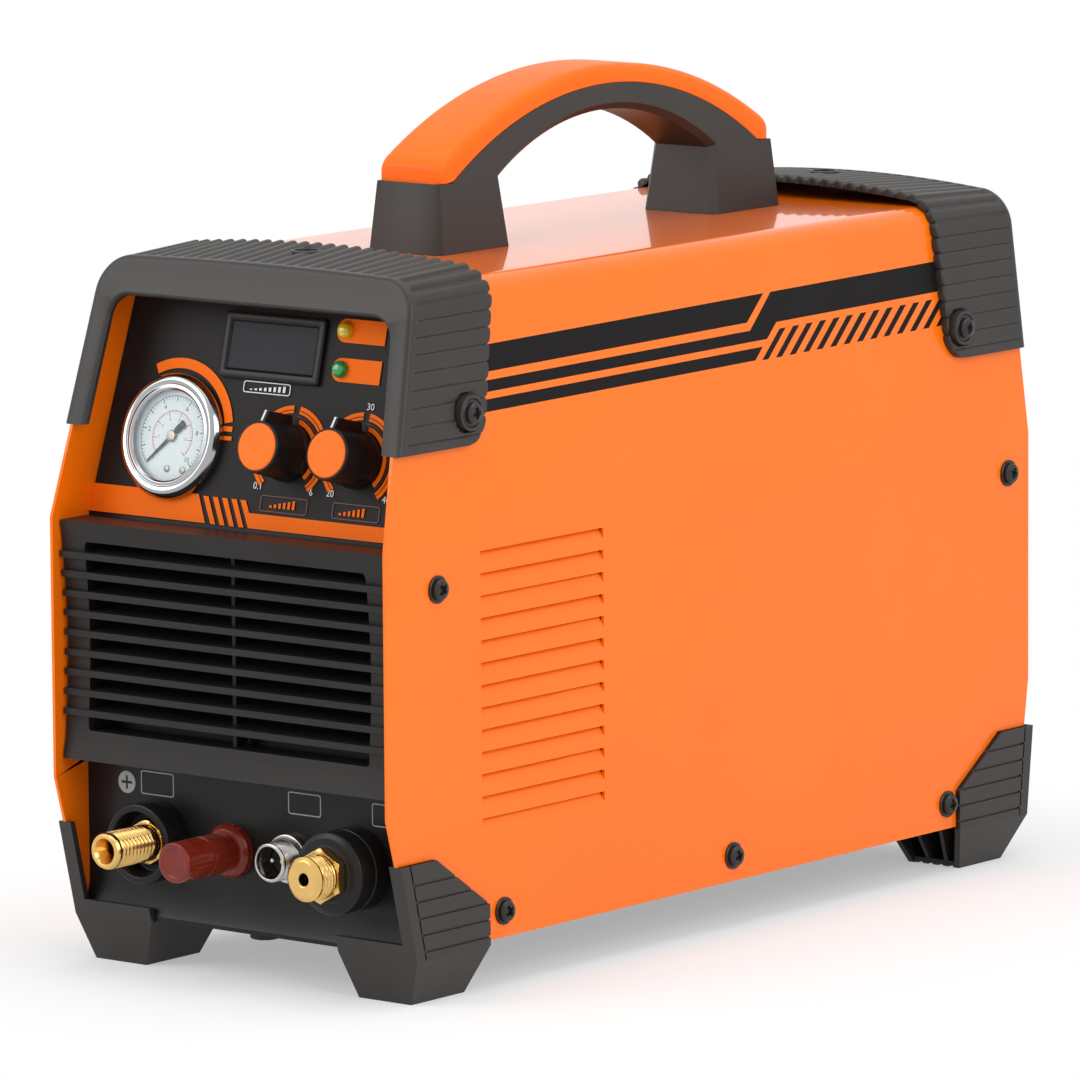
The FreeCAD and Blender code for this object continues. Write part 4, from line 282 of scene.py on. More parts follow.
class Shape:
    """A mesh being put together, in millimetres of the seat that it will be placed on."""

    def __init__(self) -> None:
        """Start with no points and no faces."""
        self.points: list[np.ndarray] = []
        self.faces: list[np.ndarray] = []

    def add(self, points: np.ndarray, *faces: np.ndarray) -> "Shape":
        """Add points and faces.

        Args:
            points: rows of three coordinates, in an array of any shape.
            faces: arrays of faces, one row of corners each, counted from the first of these points.

        Returns:
            The shape itself.
        """
        first = sum(map(len, self.points))
        self.points.append(np.asarray(points, float).reshape(-1, 3))
        self.faces.extend(np.atleast_2d(rows) + first for rows in faces)
        return self

    def grid(self, points: np.ndarray, wrap_rows: bool = False, wrap_columns: bool = False) -> "Shape":
        """Add a surface from a grid of points: each square of neighbours is one face.

        Args:
            points: rows by columns by three coordinates.
            wrap_rows: whether the last row joins the first.
            wrap_columns: whether the last column joins the first.

        Returns:
            The shape itself.
        """
        rows, columns = points.shape[:2]
        index = np.arange(rows * columns).reshape(rows, columns)
        if wrap_rows:
            index = np.vstack([index, index[:1]])
        if wrap_columns:
            index = np.hstack([index, index[:, :1]])
        squares = np.stack([index[:-1, :-1], index[1:, :-1], index[1:, 1:], index[:-1, 1:]], axis=-1)
        return self.add(points, squares.reshape(-1, 4))

    def prism(self, outline: np.ndarray, low: float, high: float) -> "Shape":
        """Add a flat plate: an outline at two heights, its two faces and the wall between them.

        Args:
            outline: the outline's points, one row each.
            low: height of its lower face.
            high: height of its upper face.

        Returns:
            The shape itself.
        """
        count = len(outline)
        rings = [np.column_stack([outline, np.full(count, height)]) for height in (low, high)]
        index = np.arange(count)
        after = np.roll(index, -1)
        walls = np.stack([index, after, after + count, index + count], 1)
        return self.add(np.concatenate(rings), index[::-1], index + count, walls)

    def printed(self, outlines: Iterable[np.ndarray], ink: float, level: float = 0.0) -> "Shape":
        """Add outlines as thin plates of ink that start a little below the printed face.

        Args:
            outlines: the outlines.
            ink: how far the ink stands out.
            level: height of the face.

        Returns:
            The shape itself.
        """
        for outline in outlines:
            self.prism(outline, level - ink / 4, level + ink)
        return self

    def turned(self, profile: np.ndarray, sides: int = 64, centre: Pair = (0.0, 0.0),
               closed: bool = False) -> "Shape":
        """Turn rows of radius and height about the out way, closed where the profile's end joins its start."""
        radius, height = np.broadcast_to(profile, (sides, *profile.shape)).transpose(2, 0, 1)
        return self.polar(radius, height, centre, closed)

    def lathed(self, corners: Sequence[Corner], sides: int = 64, closed: bool = False, steps: int = 4) -> "Shape":
        """Turn a path of corners, radius and height with an optional rounding radius, about the out way."""
        return self.turned(rounded_path(corners, steps, closed), sides, closed=closed)

    def polar(self, radius: np.ndarray, height: np.ndarray, centre: Pair = (0.0, 0.0),
              closed: bool = False) -> "Shape":
        """Add a surface that is closed round the out way: radius times cosine, radius times sine, height.

        Args:
            radius: radii, one row for each angle and one column for each step of the profile.
            height: heights of the same points.
            centre: where the axis stands.
            closed: whether the profile's end joins its start.

        Returns:
            The shape itself.
        """
        angles = (np.arange(radius.shape[0]) * FULL_TURN / radius.shape[0])[:, None]
        points = [centre[0] + radius * np.cos(angles), centre[1] + radius * np.sin(angles), height]
        return self.grid(np.stack(points, axis=-1), wrap_rows=True, wrap_columns=closed)

    def capped(self, radius: np.ndarray, height: np.ndarray, before: Sequence[Corner], after: Sequence[Corner],
               steps: int) -> "Shape":
        """Add a surface as polar does, with plain turned profiles before and after it.

        Args:
            radius: radii by angle and step.
            height: heights of the same points.
            before: corners of radius and height that come first.
            after: corners that come last.
            steps: divisions of a rounded corner's quarter turn.

        Returns:
            The shape itself.
        """
        paths = [rounded_path(corners, steps) for corners in (before, after)]
        first, last = (np.broadcast_to(path, (len(radius), *path.shape)) for path in paths)
        whole = np.concatenate([first, np.stack([radius, height], axis=-1), last], axis=1)
        return self.polar(whole[..., 0], whole[..., 1])

    def tube(self, rings: np.ndarray) -> "Shape":
        """Add rings of points as one tube, with a flat face on its first and its last ring."""
        return self.grid(rings, wrap_columns=True).lid(rings[0]).lid(rings[-1])

    def text(self, words: str, size: float, centre: Sequence[float], low: float, high: float) -> "Shape":
        """Add plain numbers as solid plates.

        Args:
            words: the digits.
            size: height of the type.
            centre: where the middle of the words stands.
            low: height of the plates' lower faces.
            high: height of their upper faces.

        Returns:
            The shape itself.
        """
        curve = bpy.data.curves.new("numbers", "FONT")
        curve.body = words
        curve.size = size
        curve.align_x = "CENTER"
        curve.align_y = "CENTER"
        curve.extrude = (high - low) / 2
        curve.resolution_u = 3
        holder = bpy.data.objects.new("numbers", curve)
        mesh = bpy.data.meshes.new_from_object(holder)
        self.add(mesh_points(mesh) + np.array([*centre, (low + high) / 2]),
                 *(np.array(face.vertices) for face in mesh.polygons))
        bpy.data.meshes.remove(mesh)
        bpy.data.objects.remove(holder)
        bpy.data.curves.remove(curve)
        return self

    def lid(self, ring: np.ndarray) -> "Shape":
        """Close a ring of points with one flat face."""
        return self.add(ring, np.arange(len(ring)))

    def placed(self, seat: Seat) -> "Shape":
        """Return the shape as seen from the unit, so that shapes of several seats can be one piece."""
        return Shape().add(seat.place(np.concatenate(self.points)), *self.faces)

    def join(self, other: "Shape") -> "Shape":
        """Add another shape's faces."""
        return self.add(np.concatenate(other.points), *other.faces)


def tidy(mesh: bpy.types.Mesh, dissolve: bool = False) -> None:
    """Merge doubled points, turn faces outwards and smooth all but the sharp edges.

    Args:
        mesh: the mesh to change.
        dissolve: whether flat neighbours become one face, as a copied CAD mesh needs before its edges are rounded.
    """
    work = bmesh.new()
    work.from_mesh(mesh)
    bmesh.ops.remove_doubles(work, verts=work.verts, dist=MERGE)
    if dissolve:
        bmesh.ops.dissolve_limit(work, angle_limit=FLAT, verts=work.verts, edges=work.edges)
    else:
        bmesh.ops.recalc_face_normals(work, faces=work.faces)
    work.to_mesh(mesh)
    work.free()
    for name in ("custom_normal", "sharp_edge", "sharp_face"):
        if name in mesh.attributes:
            mesh.attributes.remove(mesh.attributes[name])
    mesh.polygons.foreach_set("use_smooth", np.ones(len(mesh.polygons), bool))
    mesh.set_sharp_from_angle(angle=SMOOTH)
    mesh.update()


def add_piece(name: str, shape: Shape, seat: Seat, slot: str, body: Body = Body.CASE,
              nodes: Iterable[str] = (), finish: Union["Finish", None] = None) -> bpy.types.Object:
    """Make a shape a finished piece of the unit.

    Args:
        name: the piece's name.
        shape: its shape on the seat.
        seat: where it is placed.
        slot: the record's slot that its finish comes from.
        body: the body that it moves with.
        nodes: the CAD nodes that it stands for.
        finish: a finish of its own, where it isn't the slot's.

    Returns:
        The new object, with its place in its mesh.
    """
    mesh = bpy.data.meshes.new(name)
    points = seat.place(np.concatenate(shape.points)) * MM
    mesh.from_pydata(points.tolist(), [], [face for rows in shape.faces for face in rows.tolist()])
    tidy(mesh)
    piece = bpy.data.objects.new(name, mesh)
    bpy.context.scene.collection.objects.link(piece)
    mesh.materials.append((finish or FINISHES[slot]).material())
    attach(piece, body.value)
    if nodes:
        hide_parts(*nodes)
    LOG.info("%s: %d faces on %s", name, len(mesh.polygons), body.value)
    return piece


def soften(node: str, name: str, width: float, finish: Union["Finish", None] = None) -> bpy.types.Object:
    """Stand a rounded copy in for a CAD node: flat faces joined, every edge sharper than an angle rounded.

    Args:
        node: the CAD node that is copied.
        name: the copy's name.
        width: the width of the rounded edges.
        finish: a finish of its own, where it isn't the slot's.

    Returns:
        The new object.
    """
    source = frame["nodes"][node]
    mesh = source.data.copy()
    mesh.name = name
    mesh.materials.clear()
    tidy(mesh, dissolve=True)
    piece = bpy.data.objects.new(name, mesh)
    bpy.context.scene.collection.objects.link(piece)
    mesh.materials.append((finish or FINISHES[SLOT_OF[node]]).material())
    round_edges(piece, width)
    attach(piece, source["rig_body"])
    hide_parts(node)
    LOG.info("%s: rounded copy of %s", name, node)
    return piece


def round_edges(piece: bpy.types.Object, width: float) -> None:
    """Round a piece's edges with a Bevel modifier, two faces across each.

    Args:
        piece: the piece.
        width: width of the rounded edges.
    """
    rounding = piece.modifiers.new("rounding", "BEVEL")
    rounding.width = width * MM
    rounding.segments = 2
    rounding.limit_method = "ANGLE"
    rounding.angle_limit = ROUNDED
    rounding.harden_normals = True
    rounding.miter_outer = "MITER_ARC"


class Signal:
    """A shader's value that takes part in ordinary sums; each sum adds its Math node."""

    def __init__(self, shader: "Shader", socket: bpy.types.NodeSocket) -> None:
        """Wrap an output socket of a shader."""
        self.shader = shader
        self.socket = socket

    def __add__(self, other: Any) -> "Signal":
        """Return the sum."""
        return self.shader.math("ADD", self, other)

    def __sub__(self, other: Any) -> "Signal":
        """Return the difference."""
        return self.shader.math("SUBTRACT", self, other)

    def __rsub__(self, other: Any) -> "Signal":
        """Return the difference from a number."""
        return self.shader.math("SUBTRACT", other, self)

    def __mul__(self, other: Any) -> "Signal":
        """Return the product."""
        return self.shader.math("MULTIPLY", self, other)

    def __truediv__(self, other: Any) -> "Signal":
        """Return the quotient."""
        return self.shader.math("DIVIDE", self, other)

    def __pow__(self, other: Any) -> "Signal":
        """Return the power."""
        return self.shader.math("POWER", self, other)

    __radd__ = __add__
    __rmul__ = __mul__

    def clipped(self, low: float, high: float) -> "Signal":
        """Return the value kept between two numbers."""
        return self.shader.math("MINIMUM", self.shader.math("MAXIMUM", self, low), high)

    def rising(self, low: float, high: float) -> "Signal":
        """Return 0 below one value and 1 above another, with a straight climb between them."""
        return ((self - low) / (high - low)).clipped(0.0, 1.0)


class Shader:
    """The nodes of a material or the world while they are being made."""

    def __init__(self, owner: Union[bpy.types.Material, bpy.types.World],
                 output: str = "ShaderNodeOutputMaterial") -> None:
        """Start with an output alone.

        Args:
            owner: the material or world.
            output: the output node's type.
        """
        owner.use_nodes = True
        self.owner = owner
        self.tree = owner.node_tree
        self.tree.nodes.clear()
        self.output = self.node(output)

    def node(self, kind: str, settings: Union[dict, None] = None, inputs: Union[dict, None] = None) -> bpy.types.Node:
        """Make a node.

        Args:
            kind: the node's type.
            settings: properties that are set first.
            inputs: socket names or numbers with the value, socket or signal that each one gets.

        Returns:
            The node.
        """
        made = self.tree.nodes.new(kind)
        for key, value in (settings or {}).items():
            setattr(made, key, value)
        for key, value in (inputs or {}).items():
            source = value.socket if isinstance(value, Signal) else value
            if isinstance(source, bpy.types.NodeSocket):
                self.tree.links.new(source, made.inputs[key])
            else:
                made.inputs[key].default_value = source
        return made

    def math(self, operation: str, *values: Any) -> Signal:
        """Return the result of a Math node on values or signals."""
        return Signal(self, self.node("ShaderNodeMath", {"operation": operation}, dict(enumerate(values))).outputs[0])

    def vector(self, operation: str, *values: Any) -> bpy.types.Node:
        """Return a Vector Math node on values or sockets."""
        return self.node("ShaderNodeVectorMath", {"operation": operation}, dict(enumerate(values)))

    def places(self, stretch: Triple = (1.0, 1.0, 1.0)) -> bpy.types.NodeSocket:
        """Find the point of the unit that is shaded.

        Args:
            stretch: a factor for each axis.

        Returns:
            The socket of the stretched point.
        """
        point = self.node("ShaderNodeTexCoord").outputs["Object"]
        if stretch == (1.0, 1.0, 1.0):
            return point
        return self.node("ShaderNodeMapping", None, {"Vector": point, "Scale": stretch}).outputs[0]

    def noise(self, size: float, detail: float = 2.0, stretch: Triple = (1.0, 1.0, 1.0)) -> Signal:
        """Return noise from 0 to 1 whose clouds are about a size in millimetres across."""
        made = self.node("ShaderNodeTexNoise", None, {"Vector": self.places(stretch), "Scale": 1.0 / (size * MM),
                                                      "Detail": detail, "Roughness": 0.55})
        return Signal(self, made.outputs[0])

    def mix(self, share: Signal, first: Any, second: Any) -> bpy.types.NodeSocket:
        """Return a colour between two colours or sockets by a share."""
        ends = [(*end, 1.0) if isinstance(end, tuple) else end for end in (first, second)]
        return self.node("ShaderNodeMix", {"data_type": "RGBA"}, {0: share, 6: ends[0], 7: ends[1]}).outputs[2]

    def openness(self, reach: float) -> Signal:
        """Return how open a point is to its surroundings within a reach in millimetres: low in grooves."""
        made = self.node("ShaderNodeAmbientOcclusion", {"samples": 6}, {"Distance": reach * MM})
        return Signal(self, made.outputs["AO"])

    def relief(self, height: Signal, amount: float) -> bpy.types.NodeSocket:
        """Return the normal of a surface raised by a signal times an amount in millimetres."""
        return self.node("ShaderNodeBump", None, {"Height": height, "Distance": amount * MM,
                                                  "Strength": 1.0}).outputs[0]

    def seen(self) -> Signal:
        """Return 1 for what the camera, metal or glass sees, and 0 for what only lights."""
        path = self.node("ShaderNodeLightPath").outputs
        return self.math("MAXIMUM", self.math("MAXIMUM", path["Is Camera Ray"], path["Is Glossy Ray"]),
                         path["Is Transmission Ray"])

    def surface(self, made: bpy.types.Node) -> None:
        """Put a shader node on the output."""
        self.tree.links.new(made.outputs[0], self.output.inputs["Surface"])

    def blend(self, share: Signal, first: bpy.types.Node, second: bpy.types.Node) -> None:
        """Put two shader nodes on the output, mixed by the second one's share."""
        self.surface(self.node("ShaderNodeMixShader", None, {0: share, 1: first.outputs[0], 2: second.outputs[0]}))


@dataclass(frozen=True)
class Finish:
    """A surface finish: colour and gloss in soft clouds, with a fine grain raised on it."""

    name: str
    colour: Colour
    clouded: Colour
    roughness: float
    swing: float = 0.05
    metallic: float = 0.0
    coat: float = 0.0
    coat_roughness: float = 0.08
    cloud: float = 35.0
    grain: float = 0.5
    relief: float = 0.01
    stretch: Triple = (1.0, 1.0, 1.0)
    index: float = 1.45
    cavity: float = 0.0

    @lru_cache(maxsize=None)
    def material(self) -> bpy.types.Material:
        """Make the material once.

        Returns:
            The finish's material.
        """
        shader = Shader(bpy.data.materials.new(self.name))
        self.paint(shader)
        return shader.owner

    def paint(self, shader: Shader) -> None:
        """Add the nodes: clouds of noise mix the two colours and sway the gloss, fine noise raises the grain.

        Where a cavity's reach is given, grooves as narrow as that get painted shade: ambient occlusion darkens their
        colour.

        Args:
            shader: the material's shader.
        """
        clouds = shader.noise(self.cloud, 3.0)
        grain = shader.noise(self.grain, 2.0, self.stretch)
        colour = shader.mix(clouds.rising(0.3, 0.7), self.colour, self.clouded)
        # Painted shade: the colour goes dark in grooves narrower than the cavity's reach, by ambient occlusion.
        if self.cavity:
            groove_shade = tuple(GROOVE_SHADE_SHARE * share for share in self.clouded)
            colour = shader.mix(shader.openness(self.cavity).rising(0.3, 0.85), groove_shade, colour)
        gloss = clouds * self.swing + grain * self.swing + (self.roughness - self.swing)
        shader.surface(shader.node("ShaderNodeBsdfPrincipled", None, {
            "Base Color": colour, "Roughness": gloss, "Metallic": self.metallic, "IOR": self.index,
            "Coat Weight": self.coat, "Coat Roughness": self.coat_roughness, "Coat IOR": self.index,
            "Normal": shader.relief(grain, self.relief)}))


@dataclass(frozen=True)
class Glass(Finish):
    """Thin clear glass: what lies behind shows, and its surface mirrors more towards the rim of sight."""

    def paint(self, shader: Shader) -> None:
        """Mix a clear and a glossy shader by how flat the glass is seen: a power of Facing, and a little more.

        Args:
            shader: the material's shader.
        """
        clear = shader.node("ShaderNodeBsdfTransparent", None, {"Color": (*self.colour, 1.0)})
        gloss = shader.node("ShaderNodeBsdfGlossy", None, {"Roughness": self.roughness})
        facing = Signal(shader, shader.node("ShaderNodeLayerWeight", None, {"Blend": 0.5}).outputs["Facing"])
        shader.blend(facing ** 5.0 * 0.6 + 0.015, clear, gloss)


FINISHES: dict[str, Finish] = {
    "orange_paint": Finish("orange_powder_coat", (0.98, 0.178, 0.002), (0.97, 0.168, 0.001), 0.30, 0.04, coat=1.0,
                           coat_roughness=0.03, cloud=60.0, grain=1.1, relief=0.003, index=1.25),
    "black_paint": Finish("black_powder_coat", (0.007, 0.006, 0.006), (0.010, 0.009, 0.009), 0.34, 0.06, coat=0.1,
                          grain=0.7, relief=0.010, index=1.3),
    "overlay_film": Finish("printed_film", (0.013, 0.0115, 0.011), (0.017, 0.015, 0.014), 0.50, 0.04, grain=0.9,
                           relief=0.003, index=1.25),
    "charcoal_plastic": Finish("charcoal_moulding", (0.026, 0.0225, 0.020), (0.032, 0.028, 0.025), 0.44, 0.06,
                               grain=0.35, relief=0.018, index=1.42),
    "orange_plastic": Finish("orange_moulding", (0.98, 0.165, 0.003), (0.95, 0.152, 0.002), 0.42, 0.05, grain=0.45,
                             relief=0.006, index=1.3),
    "black_plastic": Finish("black_moulding", (0.009, 0.008, 0.008), (0.012, 0.011, 0.011), 0.30, 0.05, grain=0.6,
                            relief=0.005, index=1.3),
    "black_rubber": Finish("black_rubber", (0.018, 0.018, 0.018), (0.024, 0.024, 0.024), 0.75, 0.05, relief=0.02),
    "chrome": Finish("bright_chrome", (0.42, 0.43, 0.44), (0.38, 0.39, 0.40), 0.14, 0.03, metallic=1.0, relief=0.001),
    "dial_face": Finish("dial_enamel", (0.72, 0.76, 0.77), (0.68, 0.73, 0.74), 0.45, 0.05, relief=0.002),
    "clear_glass": Glass("clear_glass", (0.97, 0.985, 0.99), (1.0, 1.0, 1.0), 0.02),
    "smoked_window": Finish("smoked_window", (0.020, 0.020, 0.026), (0.016, 0.016, 0.022), 0.42, 0.03, relief=0.002,
                            index=1.25),
    "yellow_lamp": Finish("yellow_lens", (0.85, 0.60, 0.01), (0.60, 0.42, 0.01), 0.12, 0.02, coat=1.0, cloud=1.6,
                          relief=0.004),
    "green_lamp": Finish("green_lens", (0.01, 0.42, 0.09), (0.005, 0.20, 0.05), 0.12, 0.02, coat=1.0, cloud=1.6,
                         relief=0.004),
    "steel": Finish("zinc_plated_steel", (0.55, 0.55, 0.54), (0.50, 0.50, 0.47), 0.30, 0.08, metallic=1.0),
    "black_steel": Finish("blackened_steel", (0.030, 0.028, 0.028), (0.045, 0.042, 0.040), 0.32, 0.08, metallic=0.6,
                          grain=0.3, relief=0.006),
    # The cavity reach paints shade into the brass's thread grooves, bore and hex corners.
    "brass": Finish("turned_brass", (0.80, 0.52, 0.19), (0.72, 0.44, 0.14), 0.22, 0.08, metallic=1.0, cloud=6.0,
                    grain=0.25, relief=0.004, stretch=(0.2, 1.0, 0.2), cavity=2.2),
    # The cavity reach paints shade into the nickel plate's grooves.
    "nickel_plate": Finish("nickel_plate", (0.56, 0.54, 0.51), (0.50, 0.48, 0.45), 0.20, 0.06, metallic=1.0,
                           cloud=6.0, relief=0.003, cavity=2.0),
    "red_phenolic": Finish("red_phenolic", (0.21, 0.020, 0.008), (0.14, 0.012, 0.006), 0.26, 0.05, coat=0.3,
                           cloud=5.0, grain=0.5, relief=0.006, index=1.35),
    "circuit_board": Finish("solder_mask", (0.01, 0.16, 0.06), (0.01, 0.12, 0.05), 0.35, 0.05, relief=0.01),
    "aluminium": Finish("extruded_aluminium", (0.72, 0.72, 0.73), (0.66, 0.66, 0.68), 0.36, 0.06, metallic=1.0,
                        stretch=(1.0, 0.1, 1.0)),
    "capacitor_sleeve": Finish("shrunk_sleeve", (0.02, 0.03, 0.10), (0.02, 0.03, 0.08), 0.25, 0.04),
    "ferrite": Finish("sintered_ferrite", (0.05, 0.05, 0.05), (0.065, 0.065, 0.06), 0.6, 0.05, relief=0.03),
    "copper_winding": Finish("enamelled_copper", (0.62, 0.24, 0.08), (0.50, 0.18, 0.06), 0.28, 0.06, metallic=1.0,
                             grain=1.2, relief=0.08, stretch=(1.0, 1.0, 0.2)),
}
ORANGE_INK = Finish("orange_ink", (0.98, 0.170, 0.004), (0.95, 0.155, 0.003), 0.50, 0.04, grain=0.9, relief=0.003,
                    index=1.2)
STRIPE_INK = Finish("stripe_ink", (0.0075, 0.0060, 0.0065), (0.0095, 0.0075, 0.008), 0.50, 0.04, grain=1.1,
                    relief=0.004, index=1.2)
WHITE_INK = Finish("white_ink", (0.74, 0.74, 0.72), (0.70, 0.70, 0.68), 0.40, 0.04, grain=0.9, relief=0.002)
GREY_INK = Finish("grey_ink", (0.36, 0.36, 0.35), (0.33, 0.33, 0.32), 0.42, 0.04, grain=0.9, relief=0.002)
RED_INK = Finish("dark_red_ink", (0.16, 0.032, 0.018), (0.14, 0.028, 0.016), 0.42, 0.04, grain=0.9, relief=0.002)
HUB_METAL = Finish("hub_metal", (0.30, 0.27, 0.22), (0.22, 0.20, 0.17), 0.28, 0.05, metallic=1.0, cloud=1.5,
                   relief=0.002)
SCALE_RED = Finish("scale_red_ink", (0.55, 0.04, 0.03), (0.50, 0.035, 0.03), 0.42, 0.04, relief=0.002)
GRILLE_PLASTIC = Finish("grille_moulding", (0.0150, 0.0135, 0.0125), (0.0195, 0.0175, 0.0160), 0.42, 0.06, grain=0.35,
                        relief=0.014, index=1.32)
# Near-black finish of the sheet that stands in for the shade inside the case behind the grille.
SHADE_SHEET_FINISH = Finish("dust_sheet", (0.004, 0.004, 0.004), (0.006, 0.006, 0.006), 0.85, 0.04, grain=1.0, relief=0.05,
                    index=1.2)
SCALE_BLACK = Finish("scale_black_ink", (0.02, 0.02, 0.02), (0.03, 0.03, 0.03), 0.42, 0.04, relief=0.002)


def threaded_rod(shape: Shape, radius: float, deep: float, pitch: float, low: float, high: float,
                 before: Sequence[Corner], after: Sequence[Corner]) -> Shape:
    """Add a turned rod whose middle is a thread.

    At an angle and a height the radius is the outer radius less the thread's depth times a wave: twice the distance
    of (height / pitch - angle / full turn) from its nearest whole number.  The wave fades out over one pitch at
    both ends.

    Args:
        shape: the shape that the rod is added to.
        radius: outer radius.
        deep: depth of the thread.
        pitch: distance between turns.
        low: where the thread starts.
        high: where it ends.
        before: corners of radius and height of the plain profile before the thread.
        after: corners of the one after it.

    Returns:
        The shape.
    """
    sides, rows = 48, 8
    height = np.linspace(low, high, int((high - low) / pitch * rows) + 1)[None, :]
    turn = (np.arange(sides) / sides)[:, None]
    place = height / pitch - turn
    wave = 2 * np.abs(place - np.round(place))
    fade = np.clip(np.minimum(height - low, high - height) / pitch, 0, 1)
    radii = radius - deep * (wave * fade)
    return shape.capped(radii, np.broadcast_to(height, radii.shape), before, after, 3)


def hexagon(shape: Shape, flats: float, low: float, high: float, bore: float) -> Shape:
    """Add a nut.

    Its radius at an angle is half the width across flats over the cosine of the angle from the nearest flat's
    middle, cut off by a cone that falls from the corner radius by the chamfer towards both ends.

    Args:
        shape: the shape that the nut is added to.
        flats: width across flats.
        low: height of its lower face.
        high: height of its upper face.
        bore: radius of its bore.

    Returns:
        The shape.
    """
    sides, chamfer = 72, 0.9
    angle = (np.arange(sides) * FULL_TURN / sides)[:, None]
    flat = (angle + FULL_TURN / 12) % (FULL_TURN / 6) - FULL_TURN / 12
    edge = flats / 2 / np.cos(flat)
    corner = flats / 2 / math.cos(FULL_TURN / 12)
    cut = chamfer * np.linspace(0, 0.6, 5)
    height = np.concatenate([low + cut, high - cut[::-1]])[None, :]
    depth = np.minimum(height - low, high - height)
    cone = corner - chamfer + depth * 1.75
    radii = np.minimum(edge, cone)
    inner = np.full((sides, 1), bore)
    radii = np.hstack([inner, radii, inner, inner])
    heights = np.broadcast_to(np.hstack([[[low]], height, [[high]], [[low]]]), radii.shape)
    return shape.polar(radii, heights)


@dataclass
class Stripes:
    """Printed stripes and slanted bars on both upper sides, in depths and heights of the photographed side."""

    front: float = 50.0
    back: float = 322.0
    climb: float = 0.013
    level: float = 60.0
    slant: float = 1.155
    ink: float = 0.05
    bar: float = 3.6
    bar_pitch: float = 8.02
    bar_first: float = 214.9
    bar_low: float = 197.9
    bar_high: float = 207.8
    bar_count: int = 14

    def outlines(self) -> list[list[Pair]]:
        """Work out the stripes: the wide one, the one that steps up into the band, the low one, the slanted bars.

        Returns:
            The corners of each in depth and height.
        """
        wide = [(self.front, 212.0), (207.7, 212.0), (218.4, 221.2), (self.front, 221.2)]
        stepped = [(self.front, 205.2), (218.6, 205.0), (224.7, 210.3), (self.back, 210.3), (self.back, 221.2),
                   (222.7, 221.2), (209.2, 209.0), (self.front, 209.1)]
        low = [(self.front, 198.5), (211.0, 198.3), (215.8, 202.6), (self.front, 202.7)]
        run = self.slant * (self.bar_high - self.bar_low)
        bars = []
        for index in range(self.bar_count):
            start = self.bar_first + self.bar_pitch * index
            end = min(start + self.bar, self.back)
            bars.append([(start, self.bar_low), (end, self.bar_low), (min(end + run, self.back + run), self.bar_high),
                         (start + run, self.bar_high)])
        return [wide, stepped, low, *bars]

    def build(self) -> None:
        """Print the stripes on each side: heights climb slightly with depth and lie on the leaning sheet."""
        stretch = math.hypot(1.0, CASE.lean)
        for side in Side:
            flat = []
            for corners in self.outlines():
                spots = np.array(corners)
                height = spots[:, 1] + self.climb * (spots[:, 0] - self.level)
                flat.append(np.stack([side.value * spots[:, 0], (height - CASE.shoulder) * stretch], axis=1))
            shape = Shape().printed(flat, self.ink)
            add_piece("%s_side_stripes" % side.name.lower(), shape, leaning_seat(side), "orange_paint",
                      finish=STRIPE_INK)


@dataclass
class Shell:
    """Sheet-metal case: rounded copies of the folded sheets."""

    edge: float = 0.35
    film_edge: float = 0.08
    sheets: tuple[tuple[str, str], ...] = (("cover", "folded_cover"), ("base_tray", "folded_tray"),
                                           ("front_panel", "folded_front_panel"), ("rear_panel", "folded_rear_panel"))

    def build(self) -> None:
        """Round the edges of each sheet and of the film, and print the stripes."""
        for node, name in self.sheets:
            soften(node, name, self.edge)
        soften("control_overlay", "control_film", self.film_edge)
        Stripes().build()


